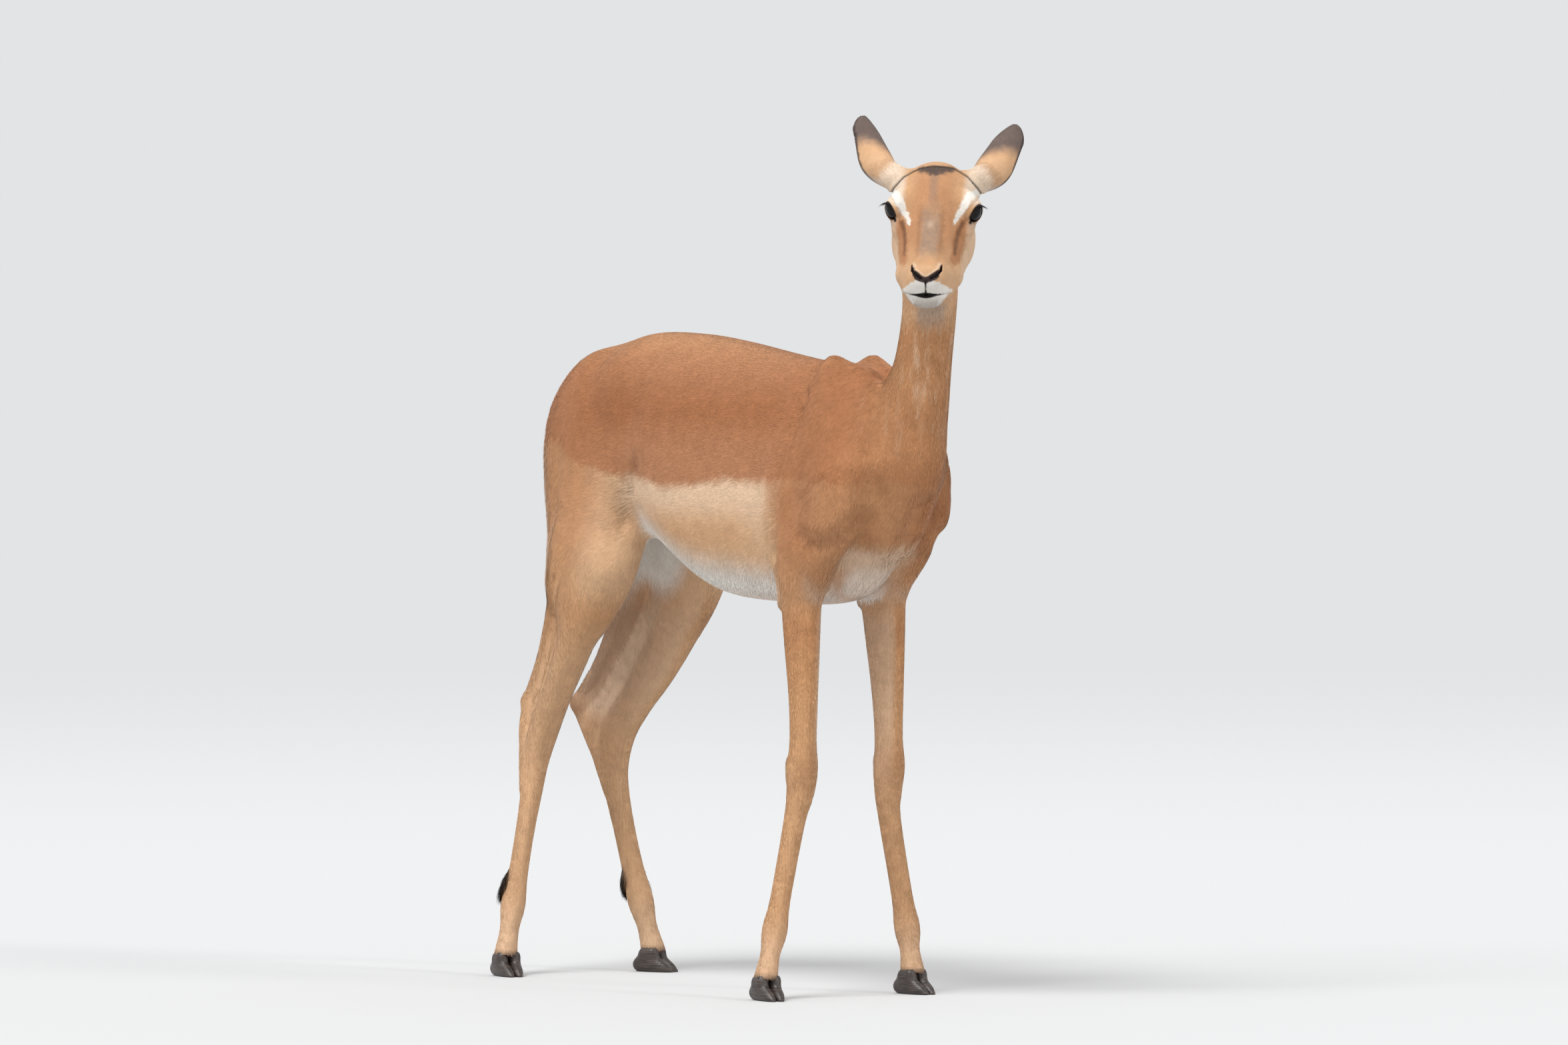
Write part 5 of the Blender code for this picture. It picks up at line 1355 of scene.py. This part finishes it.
def coat_plan(p, n, near):
    """For each point: a tuft's length, width and height at its tip, and how thickly tufts grow."""
    f, u = -p[:, 1], p[:, 2]
    q = to_head(p)
    ahead = -q[:, 1]
    on_head = ramp(u, 0.93, 0.97)
    on_leg = ramp(u, 0.56, 0.46)
    long, wide, lift, thick = (np.full(len(p), value) for value in FLANK_TUFT)
    def put(amount, *targets):
        for values, target in zip((long, wide, lift, thick), targets):
            values += (target - values) * np.clip(amount, 0, 1)
    # the belly, the neck, the legs and the pasterns
    put(ramp(-n[:, 2], 0.3, 0.8) * ramp(u, 0.66, 0.6), 0.014, 0.0009, 0.0014, 1.1)
    put(ramp(f, 0.33, 0.4) * ramp(u, 0.66, 0.74), 0.0105, 0.00066, 0.0004, 1.9)
    put(on_leg, 0.0062, 0.00066, 0.0003, 1.5)
    put(ramp(u, 0.12, 0.06), 0.0042, 0.0006, 0.0004, 1.7)
    # the buttocks, the tail and its end, and the fold of the flank
    behind = ramp(n[:, 1], 0.2, 0.6) * ramp(f, -0.27, -0.31) * ramp(u, 0.5, 0.58)
    put(behind, 0.018, 0.0012, 0.0036, 1.2)
    on_tail = tail_share(p)
    put(on_tail, 0.018, 0.00095, 0.0045, 3.0)
    put(on_tail * ramp(u, 0.56, 0.5), 0.013, 0.0009, 0.003, 3.5)
    fold = np.exp(-((f + 0.15) / 0.022) ** 2 - ((u - 0.672) / 0.02) ** 2)
    put(fold, 0.024, 0.0012, 0.006, 2.5)
    # the glands' tufts
    for side in (1, -1):
        spot = np.linalg.norm(p - gland_place(side), axis=1)
        put(ramp(spot, 0.023, 0.016) * ramp(n[:, 1], -0.3, 0.2) * on_leg, 0.021, 0.0011, 0.008, 6.0)
    # the head, shorter towards the nose and beside the crest
    put(on_head, 0.0046, 0.0005, 0.0005, 2.2)
    put(on_head * ramp(ahead, 0.02, 0.12), 0.0028, 0.00038, 0.0004, 2.8)
    put(on_head * ramp(ahead, -0.05, -0.1), 0.006, 0.00055, 0.0008, 1.8)
    from_crest = line_distance(np.abs(q[:, 0]), u - EYE_MIDPOINT[2], CREST)
    put(on_head * ramp(ahead, -0.085, -0.06) * ramp(from_crest, 0.01, 0.005), 0.0024, 0.00042, 0.0003, 3.0)
    for side, d in zip((1, -1), near):
        root, axis, opening, across = ear_frame(side)
        t = ((p - root) @ axis) / EAR_LENGTH
        on_ear = ramp(d, 0.004, 0.0012) * ramp(t, 0.0, 0.12)
        put(on_ear, 0.003, 0.0004, 0.0002, 2.4)
        within = ramp(ear_edge((p - root) @ across, (p - root) @ opening, t), 0.004, 0.01)
        hollow = on_ear * ramp(n @ opening, 0.5, 0.9) * within
        put(hollow * ramp(t, 0.75, 0.6), 0.01, 0.00055, 0.0018, 1.6)
        fluff = ramp(t, -0.2, -0.08) * ramp(t, 0.3, 0.16) * ramp(d, 0.012, 0.004)
        put(fluff * ramp(n @ opening, 0.5, 0.0), 0.008, 0.00046, 0.0018, 3.8)
    return long, wide, lift, thick

# each left piece comes just before the right one
PIECES = ("head", "ear_left", "ear_right", "neck", "shoulder_left", "shoulder_right", "rump_left",
          "rump_right", "foreleg_left", "foreleg_right", "hindleg_left", "hindleg_right", "tail")

def piece_of(p, near):
    """The number of the coat piece that each point belongs to."""
    f, l, u = -p[:, 1], p[:, 0], p[:, 2]
    right = (l < 0).astype(int)
    number = PIECES.index
    upper = np.where(f > 0, number("shoulder_left"), number("rump_left")) + right
    legs = np.where(f > 0, number("foreleg_left"), number("hindleg_left")) + right
    out = np.where(u < 0.53, legs, upper)
    out = np.where((f < -0.402) & (np.abs(l) < 0.045) & (u > 0.44), number("tail"), out)
    out = np.where((f > 0.345) & (u > 0.72), number("neck"), out)
    out = np.where(u > 0.925, number("head"), out)
    for name, side, d in (("ear_left", 1, near[0]), ("ear_right", -1, near[1])):
        root, axis, _, _ = ear_frame(side)
        out = np.where((d < 0.003) & ((p - root) @ axis > 0.012), number(name), out)
    return out

FLATTEST, ISLAND_GAP = 1.15, 0.001             # in radians, and in shares of the unwrap's side

def unwrap(points, tris):
    """The corners' places on an unwrap of a mesh's own shape."""
    obj = mesh_object("unwrap", points, tris)
    bpy.context.view_layer.objects.active = obj
    obj.select_set(True)
    bpy.ops.object.mode_set(mode="EDIT")
    bpy.ops.mesh.select_all(action="SELECT")
    bpy.ops.uv.smart_project(angle_limit=FLATTEST, island_margin=ISLAND_GAP)
    bpy.ops.object.mode_set(mode="OBJECT")
    out = np.empty(len(obj.data.loops) * 2, np.float32)
    obj.data.uv_layers.active.data.foreach_get("uv", out)
    mesh = obj.data
    bpy.data.objects.remove(obj)
    bpy.data.meshes.remove(mesh)
    return out.reshape(-1, 3, 2)

TUFTS = 420000                                 # over the whole animal
BAKE_PATCH = 0.003                             # of the unwrap's side, for each tuft
ROOT_DEPTH = 0.0003                            # of a tuft's root, under the skin
LOWEST, HIGHEST = -0.006, 0.01                 # how far a tuft's corner may move along the skin's normal
# a tuft's five corners, two at its root, two in its middle and its tip: how light they are, how far their
# normals lean along the lie and to the side, and where they lie in the tuft's patch of the unwrap
SHADES = (0.92, 0.92, 0.99, 0.99, 1.05)
LEAN_ALONG, LEAN_ASIDE = (-0.1, -0.1, 0.05, 0.05, 0.15), (-0.2, 0.2, -0.2, 0.2, 0)
PATCH = ((-0.4, -0.5), (0.4, -0.5), (-0.4, 0.0), (0.4, 0.0), (0.0, 0.5))
TUFT_FACES = ((0, 3, 1), (0, 2, 3), (2, 4, 3))

def add_coat(skin, field):
    """Tufts over the whole skin, in one piece for each part of the body."""
    mesh = skin.data
    mesh.calc_loop_triangles()
    tris = read_rows(mesh.loop_triangles, "vertices", np.int32)
    points = read_points(mesh) - PLACE
    normals = read_rows(mesh.vertices, "normal").astype(float)
    corners = points[tris]
    middle = corners.mean(1)
    area = np.linalg.norm(np.cross(corners[:, 1] - corners[:, 0], corners[:, 2] - corners[:, 0]), axis=1) / 2
    ears = [ear(1), ear(-1)]
    middle_near = [e(middle.astype(np.float32)) for e in ears]
    thick = coat_plan(middle, unit(normals[tris].mean(1) + 1e-12), middle_near)[3]
    piece = piece_of(middle, middle_near)
    weight = area * thick * (middle[:, 2] > CORONET + 0.001)
    paint = hair_paint("tuft_coat", 0.12)
    rng = np.random.default_rng(7)
    for number, name in enumerate(PIECES):
        chosen = np.flatnonzero(piece == number)
        count = int(TUFTS * weight[chosen].sum() / weight.sum())
        used, local = np.unique(tris[chosen], return_inverse=True)
        flat = unwrap(points[used], local.reshape(-1, 3))
        share = weight[chosen] / weight[chosen].sum()
        pick = rng.choice(len(chosen), count, p=share)
        mix = rng.random((count, 2))
        mix = np.where(mix.sum(1)[:, None] > 1, 1 - mix, mix)
        mix = np.column_stack((1 - mix.sum(1), mix))[:, :, None]
        roots = (corners[chosen[pick]] * mix).sum(1)
        n = unit((normals[tris[chosen[pick]]] * mix).sum(1))
        uv = (flat[pick] * mix).sum(1)
        # no tufts on bare skin, and short ones beside it
        bare = np.min(naked(to_head(roots), roots[:, 2]) + (crest_gap(roots),), axis=0)
        keep = (bare > 0.0004) | (name != "head")
        roots, n, uv = roots[keep], n[keep], uv[keep]
        near = [e(roots.astype(np.float32)) for e in ears]
        long, wide, lift, _ = coat_plan(roots, n, near)
        if name == "head":
            long = np.minimum(long, 0.0006 + bare[keep] * 1.1)
            lift = np.minimum(lift, long * 0.2)
        look = (colours(roots, n, near), lie_of_coat(roots, n, near), uv)
        coat = tuft_mesh("coat_" + name, roots, n, (long, wide, lift), look, field, rng)
        coat.data.materials.append(paint)
        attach(coat, "root")

def tuft_mesh(name, roots, n, size, look, follow, rng):
    """Flat pointed tufts that lie along the skin, their middles and tips at heights over its field."""
    count = len(roots)
    long, wide, lift = size
    colour, way, uv = look
    way = unit(way + np.cross(n, way) * rng.normal(0, 0.16, count)[:, None])
    cross = np.cross(n, way)
    long = (long * rng.uniform(0.75, 1.2, count))[:, None]
    wide = (wide * rng.uniform(0.8, 1.2, count))[:, None]
    lift = (lift * rng.uniform(0.55, 1.2, count))[:, None]
    start = roots - n * ROOT_DEPTH
    middle, tip = roots + way * long * 0.5, roots + way * long
    for spot, height in ((middle, lift * 0.65), (tip, lift)):
        value = follow(spot.astype(np.float32))[:, None]
        spot += n * np.clip(height - value, LOWEST, HIGHEST)
    points = np.stack((start - cross * wide * 0.35, start + cross * wide * 0.35, middle - cross * wide * 0.5,
                       middle + cross * wide * 0.5, tip), 1)
    base = np.arange(count)[:, None, None] * len(SHADES)
    faces = (base + np.array(TUFT_FACES)).reshape(-1, 3)
    obj = mesh_object(name, points.reshape(-1, 3) + PLACE, faces)
    mesh = obj.data
    tint = (1 + rng.normal(0, 0.06, count))[:, None, None]
    shade = np.array(SHADES)[None, :, None]
    set_values(mesh, "coat", np.clip(colour[:, None, :] * tint * shade, 0, 1).reshape(-1, 3))
    set_values(mesh, "lie", np.repeat(way, len(SHADES), 0))
    along, aside = (np.array(row)[None, :, None] for row in (LEAN_ALONG, LEAN_ASIDE))
    lean = unit(n[:, None, :] + way[:, None, :] * along + cross[:, None, :] * aside)
    mesh.normals_split_custom_set_from_vertices(lean.reshape(-1, 3).astype(np.float32))
    corner = (uv[:, None, :] + np.array(PATCH) * BAKE_PATCH).reshape(-1, 2)
    layer = mesh.uv_layers.new(name="OFBake")
    layer.data.foreach_set("uv", corner[faces.ravel()].astype(np.float32).ravel())
    return obj

# ---- making the model ------------------------------------------------------
SLOPE_STEP = 8e-4                              # over which the skin's facing is measured

def add_skin(field, body_field):
    skin = make_skin(field, body_field)
    mesh = skin.data
    points = read_points(mesh)
    n = unit(slope(field, points, SLOPE_STEP))
    near = [ear(s)(points.astype(np.float32)) for s in (1, -1)]
    set_values(mesh, "coat", colours(points, n, near))
    set_values(mesh, "lie", lie_of_coat(points, n, near))
    mesh.vertices.foreach_set("co", (points + PLACE).astype(np.float32).ravel())
    mesh.materials.append(hair_paint("skin_coat", 0.55))
    return skin

# in shares of the eyeball's radius: where the pupil ends, the iris starts and ends, and the rim starts
PUPIL_END, IRIS_START, IRIS_END, RIM_START = 0.5, 0.6, 0.8, 0.92
PUPIL, IRIS, EYE_RIM = (0.002, 0.002, 0.003, 1), (0.012, 0.006, 0.004, 1), (0.01, 0.006, 0.006, 1)
PUPIL_SHAPE = (1.0, 1.75, 0.0)                 # a level oval
CORNEA, CORNEA_START, CORNEA_TOP = 0.045, 0.7, 0.95

def two_colours(n, amount, *stops):
    """A node that runs from one colour to another; each stop is a place and a colour."""
    node = n.add("ValToRGB", None, Fac=amount)
    for element, (place, colour) in zip(node.color_ramp.elements, stops):
        element.position, element.color = place, colour
    return node.outputs[0]

def eye_paint():
    paint, shader = material("eyeball", (0.012, 0.007, 0.006), 0.05)
    shader.inputs["Specular IOR Level"].default_value = 0.18
    n = Nodes(paint)
    place = n.add("Attribute", {"attribute_name": "look"}).outputs["Vector"]
    oval = n.add("VectorMath", {"operation": "MULTIPLY"}, i0=place, i1=PUPIL_SHAPE).outputs[0]
    pupil = n.add("VectorMath", {"operation": "LENGTH"}, i0=oval).outputs["Value"]
    flat = n.add("VectorMath", {"operation": "MULTIPLY"}, i0=place, i1=(1.0, 1.0, 0.0)).outputs[0]
    ring = n.add("VectorMath", {"operation": "LENGTH"}, i0=flat).outputs["Value"]
    spokes = n.add("TexNoise", None, Vector=flat, Scale=9.0, Detail=3.0).outputs[0]
    uneven = n.math("ADD", pupil, n.math("MULTIPLY", spokes, 0.08))
    inner = two_colours(n, uneven, (PUPIL_END, PUPIL), (IRIS_START, IRIS))
    edge = n.add("MapRange", None, Value=ring, i1=IRIS_END, i2=RIM_START, i3=0.0, i4=1.0).outputs[0]
    colour = n.add("Mix", {"data_type": "RGBA"}, i0=edge, i6=inner, i7=EYE_RIM).outputs[2]
    n.link(colour, shader.inputs["Base Color"])
    return paint

def add_eyes():
    """Two eyeballs, each with a cornea that swells a little."""
    paint = eye_paint()
    for side, name in ((1, "left"), (-1, "right")):
        work = bmesh.new()
        bmesh.ops.create_uvsphere(work, u_segments=64, v_segments=40, radius=1.0)
        ball = np.array([v.co for v in work.verts])
        mesh = bpy.data.meshes.new("eyeball_" + name)
        work.to_mesh(mesh)
        work.free()
        axes = eye_axes(side)
        swell = 1 + CORNEA * ramp(ball[:, 2], CORNEA_START, CORNEA_TOP)
        in_its_head = eye_place(side) + (ball * (swell[:, None] * EYE_RADIUS)) @ axes
        points = EYE_MIDPOINT + in_its_head @ HEAD + PLACE
        mesh.vertices.foreach_set("co", points.astype(np.float32).ravel())
        set_values(mesh, "look", ball)
        make_smooth(mesh)
        mesh.materials.append(paint)
        if np.linalg.det(axes @ HEAD) < 0:
            mesh.flip_normals()
        eye = add_object("eyeball_" + name, mesh)
        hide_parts("eye_" + name)
        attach(eye, "root")

LASHES, LASH_LENGTH, LASH_WIDTH = 58, 0.0135, 0.0012
# the ways that a lash leaves the lid and ends
LASH_START, LASH_END = (0.1, 0.95, -0.05), (-0.25, 0.6, -1.0)
# the turns, round the lids from their front corner, of the first and the last lash
FIRST_LASH, LAST_LASH = radians(62), radians(172)
# places along a lash, and the turns of the three corners at each
LASH_ROWS, LASH_TURNS = (0.0, 0.35, 0.7, 1.0), (0.5, 0.5 + 2 * pi / 3, 0.5 + 4 * pi / 3)

def add_lashes():
    """Dark lashes along the rear of each upper lid, that sweep back and a little down."""
    paint, _ = material("lash", (0.01, 0.008, 0.008), 0.5)
    rng = np.random.default_rng(3)
    for side, name in ((1, "left"), (-1, "right")):
        axes = eye_axes(side) @ HEAD
        centre = EYE_MIDPOINT + eye_place(side) @ HEAD + PLACE
        turn = np.linspace(FIRST_LASH, LAST_LASH, LASHES) + rng.normal(0, 0.02, LASHES)
        rim = np.column_stack((LID_HALF_LENGTH * 1.05 * np.cos(turn), UPPER_LID * 1.12 * np.sin(turn)))
        rise = np.sqrt((EYE_RADIUS + LID) ** 2 - (rim ** 2).sum(1)) - 0.001
        root = np.column_stack((rim, rise))
        long = LASH_LENGTH * ramp(turn, 0.6, 2.2) * rng.uniform(0.75, 1.1, LASHES)
        start, end = (unit(at(*way) * (side, 1, 1)) @ eye_axes(side).T for way in (LASH_START, LASH_END))
        start = unit(start + rng.normal(0, 0.1, (LASHES, 3)))
        rows = []
        for t in LASH_ROWS:
            spine = root + long[:, None] * (start * (t - 0.5 * t * t) + end * 0.5 * t * t)
            size = LASH_WIDTH / 2 * (1 - 0.93 * t)
            rows.append([spine + size * np.array((0, sin(k), cos(k))) for k in LASH_TURNS])
        points = np.array(rows).transpose(2, 0, 1, 3).reshape(-1, 3)
        turns = ((0, 1), (1, 2), (2, 0))
        sides = [(r + a, r + 3 + a, r + 3 + b, r + b) for r in (0, 3, 6) for a, b in turns]
        faces = np.concatenate([np.array(sides) + 12 * i for i in range(LASHES)])
        lash = mesh_object("lashes_" + name, centre + points @ axes, faces)
        work = bmesh.new()
        work.from_mesh(lash.data)
        bmesh.ops.holes_fill(work, edges=[e for e in work.edges if e.is_boundary], sides=0)
        bmesh.ops.recalc_face_normals(work, faces=work.faces)
        work.to_mesh(lash.data)
        work.free()
        lash.data.materials.append(paint)
        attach(lash, "root")

HORN_RINGS = (60.0, 60.0, 900.0)               # in each metre across and up
HORN_DARK, HORN_PALE = (0.018, 0.013, 0.012, 1), (0.085, 0.062, 0.05, 1)

def horn_paint():
    paint, shader = material("horn", (0.035, 0.026, 0.022), 0.42)
    n = Nodes(paint)
    place = n.add("TexCoord").outputs["Object"]
    squashed = n.add("VectorMath", {"operation": "MULTIPLY"}, i0=place, i1=HORN_RINGS).outputs[0]
    rings = n.add("TexNoise", None, Vector=squashed, Scale=1.0, Detail=3.0).outputs[0]
    n.link(two_colours(n, rings, (0.35, HORN_DARK), (0.75, HORN_PALE)), shader.inputs["Base Color"])
    relief = n.add("Bump", None, Strength=0.5, Distance=0.0006, Height=rings).outputs[0]
    n.link(relief, shader.inputs["Normal"])
    return paint

CLAW_REACH, CLAW_STEP = ((-0.045, -0.06, -0.004), (0.045, 0.05, 0.04)), 0.0012
CLEFT, SOLE_LIFT, HORN_TOP = 0.0004, 0.0003, 0.0035  # half the gap, off the floor, and above the coronet

def claw_field(kind, side, inner):
    """Half a hoof, cut at the cleft, just above the floor and at its upper edge."""
    _, toe, turn = foot(kind, side)
    across = at(-sin(turn), cos(turn), 0)
    shape = claw(toe, turn, inner)
    def field(p):
        d = np.maximum(shape(p), CLEFT - inner * ((p - toe) @ across))
        return np.maximum(np.maximum(d, SOLE_LIFT - p[:, 2]), p[:, 2] - CORONET - HORN_TOP).astype(np.float32)
    return field

def claw_lines(toe):
    """Even grid lines round a toe, as many as sampling takes."""
    low, high = (toe + np.array(reach) for reach in CLAW_REACH)
    for start, end in zip(low, high):
        line = np.arange(start, end, CLAW_STEP)
        spare = len(line) % LINES_APART
        yield line[:len(line) - spare + 1 if spare else len(line) - 3]

def add_hooves():
    """Four hooves, each of two claws, on even grids."""
    paint = horn_paint()
    for side, name in ((1, "left"), (-1, "right")):
        for kind in ("fore", "hind"):
            for inner, where in ((side, "outer"), (-side, "inner")):
                node = "%s_%s_claw_%s" % (kind, name, where)
                lines = list(claw_lines(foot(kind, side)[1]))
                points, quads = net_on_lines(claw_field(kind, side, inner), lines)
                hoof = mesh_object("hoof_" + node, points + PLACE, quads)
                largest(hoof)
                hoof.data.materials.append(paint)
                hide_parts(node)
                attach(hoof, "root")

# the nodes of the CAD that the skin takes the place of
LEG_PARTS = {"fore": ("forearm", "cannon", "pastern"), "hind": ("gaskin", "cannon", "pastern")}
FLESH = ["head", "ear_left", "ear_right", "neck", "trunk", "tail"]
for side in ("left", "right"):
    for kind, parts in LEG_PARTS.items():
        FLESH += ["%s_%s_%s" % (kind, side, part) for part in parts]

def build():
    add_camera()
    add_floor()
    add_lights()
    carved = creases(whole(False))
    field = skin_field(carved)
    skin = add_skin(field, body_skin_field(carved))
    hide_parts(*FLESH)
    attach(skin, "root")
    add_coat(skin, field)
    add_eyes()
    add_lashes()
    add_hooves()

build()
